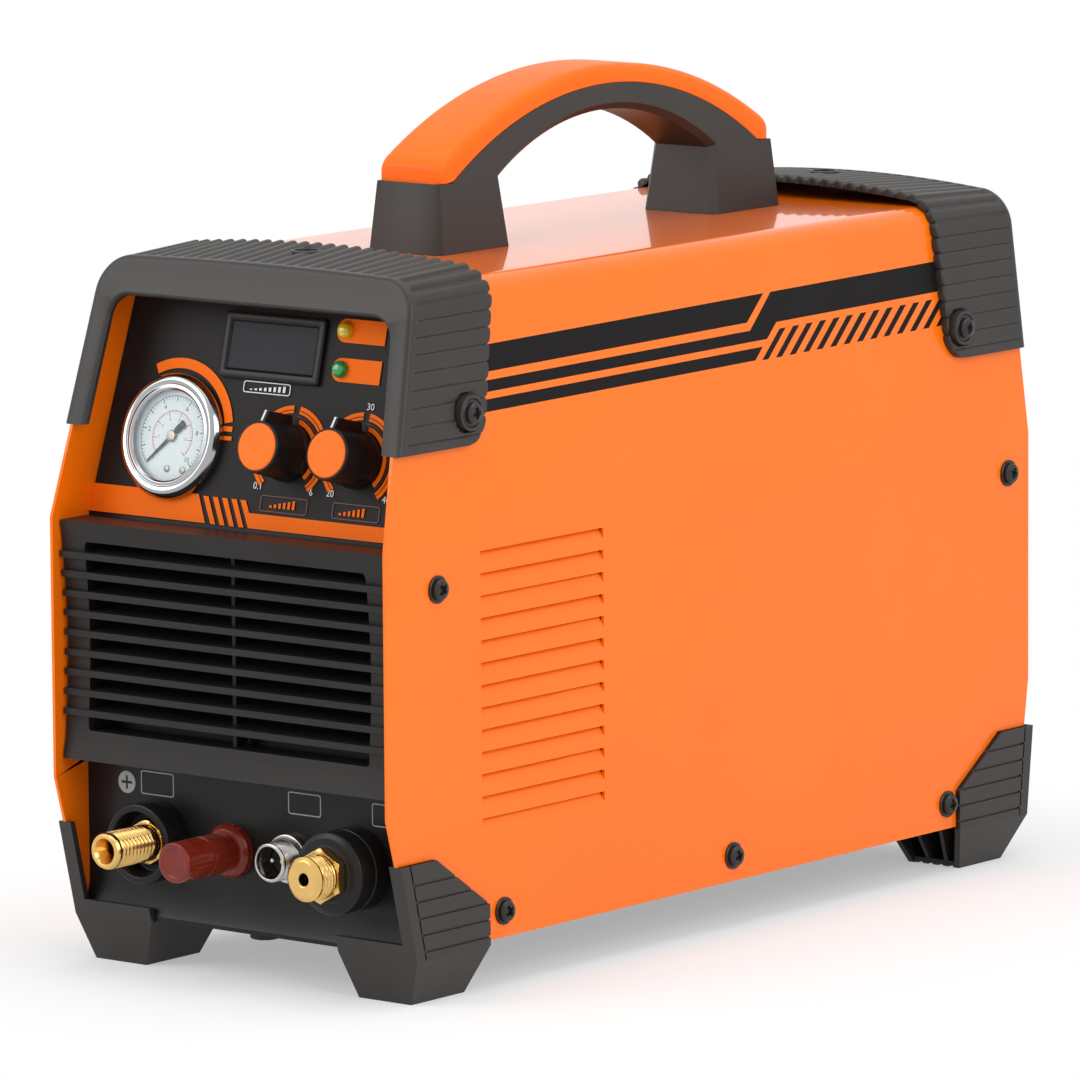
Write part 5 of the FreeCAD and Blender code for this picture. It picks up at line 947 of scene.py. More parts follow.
@dataclass
class Guard:
    """Ribbed guard: a wall carried round the upper end of the case, with a rim in front of its opening."""

    node: str
    name: str
    rim_depth: float
    rim_slope: float
    edge: tuple[Pair, ...]
    over: Pair
    crown: Pair
    screw: Pair
    hole: float
    bottom: float = 188.9
    first_line: float = 192.2
    pitch: float = 5.95
    level_lines: int = 5
    lines: int = 21
    outset: float = 3.01
    wall: float = 2.9
    corner: float = 14.0
    rim: float = 9.0
    opening_top: float = 233.5
    opening_corner: float = 8.0
    foot_radius: float = 8.5
    rib_start: float = 3.4
    groove_depth: Pair = (0.5, 0.75)
    groove_half: Pair = (0.34, 0.9)
    bulge: float = 1.0
    boss: float = 7.0
    pocket: float = 1.5
    hole_radius: float = 5.5
    hole_depth: float = 2.4
    span: float = 50.0

    def phases(self) -> np.ndarray:
        """Share out the places along half the wall, closer together beside each groove.

        Returns:
            The places, counted in ribs from the lowest groove up to the middle of the top.
        """
        low = np.linspace((self.bottom - self.first_line) / self.pitch, 0.0, 7)[:-1]
        ribs = np.arange(self.lines)[:, None] + np.array([0.0, 0.07, 0.16, 0.3, 0.5, 0.7, 0.84, 0.93])[None, :]
        return np.concatenate([low, ribs.ravel(), [self.lines]])

    def run(self, outset: float, top: float, crown: float, radius: float) -> np.ndarray:
        """Work out half of the wall's run.

        Up to a fixed number of ribs the height grows evenly on the leaning side.  The rest of the run is shared out
        evenly over the straight side, an arc of the corner radius and the top, which rises to its middle by the
        crown less the crown times the square of the distance from the middle over half the top's width.

        Args:
            outset: how far the run stands out from the cover.
            top: height of the top beside the corner.
            crown: how much higher the middle is.
            radius: radius of the corner.

        Returns:
            Distances across and heights, one row for each place.
        """
        lean = math.atan(CASE.lean)
        phase = self.phases()
        level = self.first_line + self.pitch * np.minimum(phase, self.level_lines)
        level_end = self.first_line + self.pitch * self.level_lines
        touch = top - radius + radius * math.sin(lean)

        def side(height: Any) -> Any:
            """Return how far the run is across on the leaning side."""
            return CASE.half_width - CASE.lean * (height - CASE.shoulder) + outset / math.cos(lean)

        centre = side(touch) - radius * math.cos(lean)
        straight = (touch - level_end) / math.cos(lean)
        bend = radius * (math.pi / 2 - lean)
        share = np.clip((phase - self.level_lines) / (self.lines - self.level_lines), 0, 1)
        length = share * (straight + bend + centre)
        rise = level + np.minimum(length, straight) * math.cos(lean)
        angle = lean + np.clip((length - straight) / radius, 0, math.pi / 2 - lean)
        flat = centre - np.clip(length - straight - bend, 0, centre)
        across = np.where(length <= straight, side(rise), np.where(length <= straight + bend,
                                                                   centre + radius * np.cos(angle), flat))
        height = np.where(length <= straight, rise, np.where(length <= straight + bend,
                                                             top - radius + radius * np.sin(angle),
                                                             top + crown * (1 - (flat / centre) ** 2)))
        return np.stack([across, height], axis=1)

    def both(self, half: np.ndarray) -> np.ndarray:
        """Return the whole run: half of it and, past the middle, its mirror image."""
        mirror = half[::-1][1:] * np.array([-1.0, 1.0])
        return np.concatenate([half, mirror])

    def outward(self, run: np.ndarray) -> np.ndarray:
        """Return the way out of the wall at each place: the run's own direction turned by a quarter."""
        way = np.gradient(run, axis=0) @ np.array([[0.0, -1.0], [1.0, 0.0]])
        return way / np.linalg.norm(way, axis=1)[:, None]

    def rim_at(self, height: Any) -> Any:
        """Return the depth of the rim's face, which leans with the end of the case."""
        return self.rim_depth + self.rim_slope * (height - CASE.shoulder)

    def edge_at(self, phase: np.ndarray, inwards: float) -> np.ndarray:
        """Work out the inner edge: its line along the run, with rounded ends on the ribs and a rounded foot.

        Args:
            phase: places along the run.
            inwards: 1 where the guard lies behind its rim, -1 where it lies before it.

        Returns:
            The edge's depth at each place.
        """
        spots, depths = np.array(self.edge).T
        line = np.interp(phase, spots, depths)
        share = phase - np.floor(phase)
        bulge = self.bulge * (1 - np.abs(2 * share - 1) ** 3) * (phase > 0)
        rise = np.clip((phase * self.pitch + self.first_line - self.bottom) / self.foot_radius, 0, 1)
        foot = self.foot_radius * (1 - np.sqrt(1 - (1 - rise) ** 2))
        return line + inwards * (bulge * rise ** 2 - foot)

    def carved(self, phase: np.ndarray, run: np.ndarray, depth: np.ndarray, room: np.ndarray) -> np.ndarray:
        """Work out how deep the outer face is carved.

        Each groove follows 1 / (1 + (distance from its middle / half its width) ^ 4) and fades in behind the rim.  A
        round pocket lies about the screw and a round hole, with a plain ring about it, in the top.

        Args:
            phase: places along the run.
            run: distances across and heights.
            depth: depths of the same points.
            room: distances from the rim.

        Returns:
            Depths of carving, nought where the face is whole.
        """
        near = np.abs(phase - np.round(phase)) * self.pitch
        on_top = np.clip((phase - self.level_lines - 2) / 3, 0, 1)
        wide = self.groove_half[0] + self.groove_half[1] * on_top
        groove = (self.groove_depth[0] + self.groove_depth[1] * on_top) / (1 + (near / wide) ** 4) * (phase > -0.2)
        groove = groove * np.clip((room - self.rib_start) / 0.7, 0, 1)
        from_screw = np.hypot(depth - self.screw[0], run[:, 1] - self.screw[1]) + 50 * (phase > self.level_lines)
        pocket = self.pocket * np.clip((self.boss - from_screw) / 0.7, 0, 1)
        from_hole = np.hypot(run[:, 0], depth - self.hole) + 50 * (phase < self.level_lines)
        hole = self.hole_depth * np.clip((self.hole_radius - from_hole) / 0.6, 0, 1)
        return np.maximum(np.maximum(groove, pocket), hole)

    def shape(self) -> Shape:
        """Carry the section round: rim's face, rounded corner, carved outer face, edge, inner face, rim's back.

        Returns:
            The guard's wall as one closed tube.
        """
        half = self.phases()
        phase = np.concatenate([half, half[::-1][1:]])
        inwards = math.copysign(1.0, self.edge[0][1] - self.rim_depth)
        opening = self.both(self.run(self.outset - self.rim, self.opening_top, 0.0, self.opening_corner))
        middle = (self.rim_depth + self.edge[-1][1]) / 2
        rim = self.rim_at(self.over[0])
        columns = []

        def add(run: np.ndarray, depth: np.ndarray, inset: Any = 0.0) -> None:
            """Add a column of the section, drawn in from the wall's outer face."""
            spot = run - self.outward(run) * np.reshape(inset, (-1, 1))
            columns.append(np.column_stack([spot[:, 0], depth, spot[:, 1]]))

        def wall_run(depth: float) -> np.ndarray:
            """Return the outer face's run at a depth of the top."""
            share = abs(depth - rim) / self.span
            return self.both(self.run(self.outset, self.over[0] + self.over[1] * share,
                                      self.crown[0] + self.crown[1] * share, self.corner))

        face = wall_run(rim)
        add(opening, self.rim_at(opening[:, 1]) + inwards * 1.3)
        add(opening, self.rim_at(opening[:, 1]) + inwards * 0.3, -0.7)
        add(opening, self.rim_at(opening[:, 1]), -1.5)
        for inset, back in ((2.2, 0.0), (1.1, 0.2), (0.4, 0.75), (0.1, 1.4)):
            add(face, self.rim_at(face[:, 1]) + inwards * back, inset)
        edge = self.edge_at(phase, inwards)
        for share in np.concatenate([[0.0, 0.02, 0.04, 0.055], np.linspace(0.075, 1.0, 44)]):
            run = wall_run(rim + share * (self.edge[-1][1] - self.rim_depth))
            start = self.rim_at(run[:, 1]) + inwards * 2.1
            depth = start + (edge - inwards * 0.7 - start) * share
            add(run, depth, self.carved(phase, run, depth, np.abs(depth - self.rim_at(run[:, 1]))))
        add(run, edge - inwards * 0.2, 0.4 + self.carved(phase, run, edge, np.full(len(edge), 9.0)))
        add(run, edge, 1.1 + 0.6 * self.carved(phase, run, edge, np.full(len(edge), 9.0)))
        add(run, edge, self.wall)
        inner = wall_run(middle)
        add(inner, (edge + self.rim_at(inner[:, 1])) / 2, self.wall)
        add(face, self.rim_at(face[:, 1]) + inwards * self.wall, self.wall)
        add(opening, self.rim_at(opening[:, 1]) + inwards * self.wall)
        return Shape().tube(np.stack(columns, axis=1))

    def boss_ring(self, side: Side) -> Shape:
        """Turn the raised ring about a side's screw.

        Args:
            side: the side.

        Returns:
            The ring as seen from the unit.
        """
        ring = Shape().lathed([(0.0, 1.2), (4.95, 1.2), (5.0, 2.1, 0.2), (6.2, 2.1, 0.4), (6.2, -1.8), (0.0, -1.8)],
                              48)
        out = CASE.half_width - CASE.lean * (self.screw[1] - CASE.shoulder) + self.outset
        return ring.placed(side_seat(side, self.screw[0], self.screw[1], out))

    def hole_ring(self) -> Shape:
        """Turn the plain ring about the hole in the top.

        Returns:
            The ring as seen from the unit.
        """
        share = abs(self.hole - self.rim_at(self.over[0])) / self.span
        top = self.over[0] + self.crown[0] + (self.over[1] + self.crown[1]) * share
        ring = Shape().lathed([(4.3, -2.0), (4.3, 0.55, 0.2), (5.7, 0.5, 0.3), (5.7, -2.0)], 48, closed=True)
        return ring.placed(Seat((0.0, FRONT_EDGE + self.hole, top)))

    def build(self) -> None:
        """Build the guard with the rings about its screws and its hole."""
        whole = self.shape().placed(UNIT)
        whole.join(self.hole_ring())
        for side in Side:
            whole.join(self.boss_ring(side))
        add_piece(self.name, whole, Seat((0.0, 0.0, 0.0)), "charcoal_plastic", nodes=(self.node,))


FRONT_GUARD = Guard("front_guard", "front_guard_moulding", 0.0, 0.255,
                    ((-1.0, 54.4), (0.8, 55.3), (7.9, 63.7), (9.0, 63.5), (11.0, 61.2), (14.0, 60.2), (21.0, 59.8)),
                    (247.0, 1.7), (0.9, 1.5), (46.0, 200.0), 50.0)
REAR_GUARD = Guard("rear_guard", "rear_guard_moulding", 371.0, -0.045,
                   ((-1.0, 323.6), (1.5, 323.4), (8.0, 320.4), (21.0, 320.6)),
                   (246.9, 2.3), (2.9, 0.1), (330.1, 200.0), 346.6)


@dataclass
class Foot:
    """Moulded foot: a grooved plate on the case's side, a leaning front, a cheek and a hollow behind ribs.

    Its side line goes from the toe to the heel.  Above the knee the plate is upright, and below it the block draws in
    towards the floor.
    """

    end: str
    toe: tuple[Pair, ...]
    heel: tuple[Pair, ...]
    outer: float = 77.0
    low_outer: float = 71.0
    inner: float = 42.0
    low_inner: float = 48.0
    knee: float = 16.0
    shelf: float = 21.5
    wall: float = 2.4
    post: float = 5.4
    rib: float = 1.6
    strip: float = 4.6
    groove: float = 0.8
    groove_depth: float = 0.7
    first: float = 19.0
    pitch: float = 5.9
    grooves: int = 5
    treads: int = 5
    tread_pitch: float = 4.6

    @property
    def way(self) -> float:
        """Return 1 where the heel lies behind the toe and -1 where it lies before it."""
        return math.copysign(1.0, self.heel[0][1] - self.toe[0][1])

    def toe_at(self, height: Any) -> Any:
        """Return the depth of the foot's outer end at a height."""
        return np.interp(height, *np.array(self.toe).T)

    def heel_at(self, height: Any) -> Any:
        """Return the depth of the foot's end towards the middle of the unit at a height."""
        return np.interp(height, *np.array(self.heel).T)

    def levels(self, low: float, high: float) -> np.ndarray:
        """Return the heights at which the foot's outline turns between two heights, with both ends."""
        turns = [height for height, _ in (*self.toe, *self.heel) if low < height < high]
        return np.unique([low, *turns, high])

    def plate(self, low: float, high: float, start: float, out: float) -> Shape:
        """Cut a level band of the side plate.

        Args:
            low: height of its lower edge.
            high: height of its upper edge.
            start: how far from the toe it starts; it ends at the heel.
            out: how far out its face lies.

        Returns:
            The band, with depth, height and the way out as its three ways.
        """
        levels = self.levels(low, high)
        near = np.column_stack([self.toe_at(levels) + self.way * start, levels])
        far = np.column_stack([self.heel_at(levels), levels])[::-1]
        return Shape().prism(np.concatenate([near, far]), self.outer - self.wall, out)

    def block(self, across: Sequence[float], low_across: Sequence[float], depths: Sequence[float],
              low_depths: Sequence[float], top: float, bottom: float) -> Shape:
        """Return a six-sided block: two ends across and two in depth at an upper and at a lower level."""
        rings = [[(sides[0], ends[0], height), (sides[1], ends[0], height), (sides[1], ends[1], height),
                  (sides[0], ends[1], height)]
                 for sides, ends, height in ((low_across, low_depths, bottom), (across, depths, top))]
        return Shape().tube(np.array(rings))

    def solid(self) -> Shape:
        """Join the foot's walls, each a closed shape.

        Returns:
            The foot of the right side.
        """
        way = self.way
        whole = Shape()
        side = Seat((0.0, 0.0, 0.0), (0, 1, 0), (0, 0, 1), (1, 0, 0))
        high = self.toe[-1][0]
        whole.join(self.plate(self.knee, high, 0.5, self.outer - self.groove_depth).placed(side))
        edges = [self.knee, *(self.first + self.pitch * step for step in range(self.grooves)), high]
        for low, top in zip(edges, edges[1:]):
            whole.join(self.plate(low + self.groove / 2 * (low > self.knee), top - self.groove / 2 * (top < high),
                                  self.strip, self.outer).placed(side))
        levels = self.levels(self.knee, high)
        toe = np.column_stack([self.toe_at(levels), levels])
        strip = np.concatenate([toe, toe[::-1] + np.array([way * (self.strip + 0.6), 0.0])])
        whole.join(Shape().prism(strip, self.outer - self.wall, self.outer).placed(side))
        post = np.concatenate([toe, toe[::-1] + np.array([way * self.wall, 0.0])])
        whole.join(Shape().prism(post, self.outer - self.post, self.outer - self.wall).placed(side))
        toe_in, heel_in = self.toe_at(self.knee), self.heel_at(self.knee)
        toe_low, heel_low = self.toe_at(0.0), self.heel_at(0.0)
        toe_top = self.toe_at(self.shelf)
        thick = way * self.wall
        reach, low_reach = (self.inner, self.outer), (self.low_inner, self.low_outer)
        whole.join(self.block(reach, low_reach, (toe_in, toe_in + thick), (toe_low, toe_low + thick), self.knee, 0.0))
        short = (self.inner, self.outer - self.post)
        whole.join(self.block(short, short, (toe_top, toe_top + thick), (toe_in, toe_in + thick), self.shelf,
                              self.knee))
        for near, low_near in ((self.inner, self.low_inner), (self.outer - self.wall, self.low_outer - self.wall)):
            whole.join(self.block((near, near + self.wall), (low_near, low_near + self.wall),
                                  (toe_in + thick, heel_in), (toe_low + thick, heel_low), self.knee, 0.0))
        whole.join(self.block((self.inner, self.inner + self.wall), (self.inner, self.inner + self.wall),
                              (toe_top + thick, heel_in - way), (toe_in + thick, heel_in), self.knee + 1.0,
                              self.knee))
        whole.join(self.block((self.low_inner, self.low_outer), (self.low_inner, self.low_outer),
                              (toe_low + way, heel_low - way * 0.3), (toe_low + way, heel_low - way * 0.3), 2.2, 0.6))
        for share in (0.34, 0.68):
            spot = self.inner + share * (self.outer - self.inner)
            low_spot = self.low_inner + share * (self.low_outer - self.low_inner)
            whole.join(self.block((spot, spot + self.rib), (low_spot, low_spot + self.rib),
                                  (toe_in + way, heel_in - way * 1.5), (toe_low + way, heel_low - way), self.knee,
                                  1.0))
        for tread in range(self.treads):
            near = self.low_inner + 1.0 + self.tread_pitch * tread
            whole.join(self.block((near, near + 3.4), (near + 0.5, near + 2.9), (toe_low - way * 0.1, heel_low),
                                  (toe_low + way * 0.3, heel_low - way * 0.5), 1.2, 0.0))
        return whole

    def build(self) -> None:
        """Build the foot on both sides, the left one as a mirror image."""
        for side in Side:
            whole = self.solid().placed(Seat(UNIT.origin, (side.value, 0, 0), (0, 1, 0), (0, 0, 1)))
            name = "%s_%s_foot" % (self.end, side.name.lower())
            add_piece(name + "_moulding", whole, Seat((0.0, 0.0, 0.0)), SLOT_OF[name], nodes=(name,))


FRONT_FOOT = Foot("front", ((0.0, 16.6), (49.6, 4.5)),
                  ((0.0, 45.0), (16.0, 52.4), (30.2, 52.2), (49.4, 24.0), (49.6, 24.0)))
REAR_FOOT = Foot("rear", ((0.0, 359.0), (15.5, 367.5), (48.6, 371.2)),
                 ((0.0, 333.3), (16.0, 325.6), (30.4, 325.4), (48.4, 351.3), (48.6, 351.3)))


@dataclass
class Mouldings:
    """Charcoal mouldings: guards, feet and the louvred grille, with a dark sheet behind it as painted shade of the
    case's inside.
    """

    grille_edge: float = 0.35
    grille_levels: tuple[float, ...] = (72.5, 74.0, 88.6, 89.2, 147.4, 149.0, 156.0)
    photo_levels: tuple[float, ...] = (72.5, 74.0, 83.9, 87.8, 146.0, 149.0, 156.0)
    sheet: float = 1.0
    sheet_inset: float = 1.5
    behind: float = 1.2

    def build(self) -> None:
        """Build the guards and feet, round the grille's edges and hang the dark sheet of painted shade behind its
        louvres.
        """
        FRONT_GUARD.build()
        REAR_GUARD.build()
        FRONT_FOOT.build()
        REAR_FOOT.build()
        self.respace(soften("front_grille", "louvred_grille", self.grille_edge, finish=GRILLE_PLASTIC).data)
        # A dark sheet just behind the louvres stands in for the shade inside the case.
        low, high = (np.array(corner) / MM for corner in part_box("front_grille"))
        back = high[1] - FRONT_EDGE + self.behind
        low, high = low + self.sheet_inset, high - self.sheet_inset
        sheet = Shape().prism(box_path(back, low[2], back + self.sheet, high[2]), low[0], high[0])
        add_piece("grille_dust_sheet", sheet, Seat(UNIT.origin, (0, 1, 0), (0, 0, 1), (1, 0, 0)), "black_plastic",
                  finish=SHADE_SHEET_FINISH)

    def respace(self, mesh: bpy.types.Mesh) -> None:
        """Lower the bars and the opening's foot: each height goes to its photographed level.

        Args:
            mesh: the mesh of the grille's copy.
        """
        points = mesh_points(mesh)
        points[:, 2] = np.interp(points[:, 2] / MM, self.grille_levels, self.photo_levels) * MM
        mesh.vertices.foreach_set("co", points.ravel())
        mesh.update()


@dataclass
class Handle:
    """Handle: an arch on two legs and its coloured cap, a rounded section carried along an arc, with two plugs."""

    depth: float = 200.5
    lower_radius: float = 153.0
    lower_top: float = 295.99
    shelf: float = 268.29
    upper_radius: float = 176.0
    top: float = 302.7
    end: float = 94.5
    width: float = 28.0
    round_top: float = 3.6
    round_low: float = 0.5
    plug_tilt: float = 27.2
    plug_length: float = 19.0
    plug_width: float = 17.4
    leg_foot: float = 244.09
    leg_top: Pair = (95.0, 60.5)
    leg_low: Pair = (99.0, 57.8)
    leg_half: Pair = (14.0, 16.7)
    under_radius: float = 107.0
    under_top: float = 286.67
    chamfer: float = 2.3

    def build(self) -> None:
        """Build the arch, the cap and its plugs."""
        add_piece("handle_arch", self.arch(), UNIT, "charcoal_plastic", nodes=("handle_base",))
        add_piece("handle_cap", self.cap(), UNIT, "orange_plastic", nodes=("handle_grip", "handle_plugs"))
        add_piece("handle_cap_plugs", self.plugs(), UNIT, "orange_plastic")

    def arch(self) -> Shape:
        """Carry the arch's side outline across, with a flat chamfer along its legs and its underside.

        The outline goes up the outer end of a leg, along the shelf and the circle that carries the cap, down the
        other leg and back along the circle of the underside.  Each point of a chamfered row is drawn in along the
        mean of its neighbours' normals.  The legs spread: their half width grows evenly towards their feet.

        Returns:
            The arch with its legs.
        """
        high = self.lower_top - self.lower_radius
        reach = math.degrees(math.acos((self.shelf - high) / self.lower_radius))
        over = arc(self.lower_radius, 90 - reach, 90 + reach, (0.0, high), 2.5)
        low = self.under_top - self.under_radius
        span = math.degrees(math.asin(self.leg_top[1] / self.under_radius))
        under = arc(self.under_radius, 90 + span, 90 - span, (0.0, low), 2.5)
        outer, outer_low = self.leg_top[0], self.leg_low[0]
        legs = [[(self.leg_low[1], self.leg_foot), (outer_low, self.leg_foot), (outer, self.shelf)],
                [(-outer, self.shelf), (-outer_low, self.leg_foot), (-self.leg_low[1], self.leg_foot)]]
        outline = np.concatenate([legs[0], over, legs[1], under])
        after = np.roll(outline, -1, axis=0) - outline
        normal = np.stack([-after[:, 1], after[:, 0]], axis=1) / np.linalg.norm(after, axis=1)[:, None]
        before = np.roll(normal, 1, axis=0)
        inwards = (normal + before) / (1 + (normal * before).sum(axis=1))[:, None]
        on_circle = np.hypot(outline[:, 0], outline[:, 1] - high) > self.lower_radius - 0.01
        flat = (outline[:, 1] >= self.shelf - 0.01) & on_circle
        draw = inwards * ~flat[:, None]
        draw[:, 1] *= (outline[:, 1] > self.leg_foot + 0.1) & (np.abs(outline[:, 1] - self.shelf) > 0.01)
        rows = []
        for side, share in ((-1, 1.0), (-1, 0.0), (1, 0.0), (1, 1.0)):
            spots = outline + draw * self.chamfer * share
            half = np.interp(spots[:, 1], [self.leg_foot, self.shelf], self.leg_half[::-1])
            across = side * (half - self.chamfer * (1 - share))
            rows.append(np.stack([across, self.depth + spots[:, 0], spots[:, 1]], axis=1))
        return Shape().tube(np.stack(rows))

    def surfaces(self, along: np.ndarray) -> tuple[np.ndarray, np.ndarray]:
        """Return the cap's lower and upper heights at distances from its middle, on the two circles' crowns."""
        lower = self.lower_top - self.lower_radius + np.sqrt(self.lower_radius ** 2 - along ** 2)
        return (np.maximum(lower, self.shelf),
                self.top - self.upper_radius + np.sqrt(self.upper_radius ** 2 - along ** 2))

    def cap(self) -> Shape:
        """Sweep the section: at each distance it spans the two arcs, its corners rounded, and it closes at the ends.

        Across the handle the section is a rounded box; its share of the height moves with the arcs.  The last
        stations draw the section in by a quarter circle, so that the ends are rounded too.

        Returns:
            The cap.
        """
        ease = np.sin(np.linspace(0, math.pi / 2, 6))
        inset = self.round_top * (1 - np.sqrt(1 - ease ** 2))
        reach = self.end - self.round_top * (1 - ease)
        along = np.concatenate([-reach[::-1], np.linspace(-reach[0], reach[0], 49)[1:-1], reach])
        shrink = np.concatenate([inset[::-1], np.zeros(47), inset])
        lower, upper = self.surfaces(np.clip(along, -self.end, self.end))
        rings = []
        for spot, draw, low, high in zip(along, shrink, lower, upper):
            half = self.width / 2 - draw * 0.6
            crown = high - draw * 0.5
            corner = max(self.round_top - draw * 0.3, 0.5)
            section = rounded_path([(-half, low, self.round_low), (half, low, self.round_low), (half, crown, corner),
                                    (-half, crown, corner)], 6, closed=True)
            rings.append(np.stack([section[:, 0], np.full(len(section), self.depth + spot), section[:, 1]], axis=1))
        return Shape().tube(np.stack(rings))

    def plugs(self) -> Shape:
        """Set two oval discs into the cap: each is a stadium bent to the cap's arc and raised by a hair.

        Returns:
            Both discs.
        """
        shape = Shape()
        for way in (-1, 1):
            turn = np.linspace(0, FULL_TURN, 64, endpoint=False)
            straight = (self.plug_length - self.plug_width) / 2
            rim_across = self.plug_width / 2 * np.cos(turn)
            rim_along = self.plug_width / 2 * np.sin(turn) + np.sign(np.sin(turn)) * straight
            share = np.array([0.0, 0.5, 0.9, 0.97, 1.0, 1.0])
            lift = np.array([0.12, 0.12, 0.12, 0.09, 0.0, -0.6])
            angle = math.radians(self.plug_tilt) * way + np.outer(share, rim_along) / self.upper_radius
            radius = self.upper_radius + lift[:, None]
            centre = self.top - self.upper_radius
            points = np.stack([np.outer(share, rim_across), self.depth + radius * np.sin(angle),
                               centre + radius * np.cos(angle)], axis=-1)
            shape.grid(points, wrap_columns=True)
        return shape


@dataclass
class Screws:
    """Flanged case screws with crossed recesses, in their groups."""

    flange: float = 4.8
    flange_height: float = 0.9
    head: float = 3.7
    height: float = 3.2
    recess: float = 1.5
    slot: float = 0.55
    arm: float = 2.1
    rear_drift: float = 3.5
    turn: Pair = (0.6, 1.3)

    def head_shape(self) -> Shape:
        """Return a screw head on a polar grid.

        The profile is a flat flange, a step up and a dome: height falls as the square of the radius.  The recess
        goes down where the smaller of |x| and |y| is within the slot and the larger within the arm, both eased.

        Returns:
            The head on its own seat.
        """
        sides = 48
        angle = (np.arange(sides) * FULL_TURN / sides)[:, None]
        core = np.linspace(0.0, self.head - 0.5, 15)
        ring = np.array([self.head - 0.25, self.head, self.head, self.flange - 0.3, self.flange, self.flange, 0.0])
        radii = np.concatenate([core, ring])[None, :]
        dome = self.height - 0.75 * (core / self.head) ** 2
        rim = np.array([self.height - 0.95, self.height - 1.25, self.flange_height, self.flange_height,
                        self.flange_height - 0.25, 0.0, 0.0])
        heights = np.concatenate([dome, rim])[None, :]
        across, up = np.abs(radii * np.cos(angle)), np.abs(radii * np.sin(angle))
        narrow = np.clip((self.slot + 0.25 - np.minimum(across, up)) / 0.25, 0, 1)
        reach = np.clip((self.arm - np.maximum(across, up)) / 0.5, 0, 1)
        sunk = heights - self.recess * narrow * reach * (radii < self.head - 0.4)
        return Shape().polar(np.broadcast_to(radii, sunk.shape), sunk)

    def centres(self, node: str) -> list[tuple[Side, float, float, float]]:
        """Find the screws of a CAD node: the farthest points of each head lie about its middle.

        Args:
            node: the node.

        Returns:
            Each screw's side, depth, height and its seat's distance from the centre plane.
        """
        points = mesh_points(frame["nodes"][node].data) / MM
        outer = np.abs(points[:, 0]).max()
        tips = points[np.abs(points[:, 0]) > outer - 0.01]
        found: list[tuple[Side, float, float, float]] = []
        for side in Side:
            rest = tips[np.sign(tips[:, 0]) == side.value]
            while len(rest):
                near = np.hypot(*(rest[:, 1:] - rest[0, 1:]).T) < 3 * self.flange
                middle = (rest[near].max(axis=0) + rest[near].min(axis=0)) / 2
                depth = middle[1] - FRONT_EDGE
                drift = self.rear_drift * (node == "guard_screws" and depth > 300.0)
                found.append((side, depth + drift, middle[2], outer - self.height))
                rest = rest[~near]
        return found

    def build(self) -> None:
        """Build both groups, each screw turned by an angle of its own."""
        for node in ("side_screws", "guard_screws"):
            group = Shape()
            for index, (side, depth, height, out) in enumerate(self.centres(node)):
                turn = self.turn[0] + self.turn[1] * index
                seat = side_seat(side, depth, height, out)
                across = np.array(seat.across) * math.cos(turn) + np.array(seat.up) * math.sin(turn)
                up = np.array(seat.up) * math.cos(turn) - np.array(seat.across) * math.sin(turn)
                group.join(self.head_shape().placed(Seat(seat.origin, tuple(across), tuple(up), seat.out)))
            add_piece(node.replace("screws", "screw_heads"), group, Seat((0, 0, 0)), "black_steel", nodes=(node,))


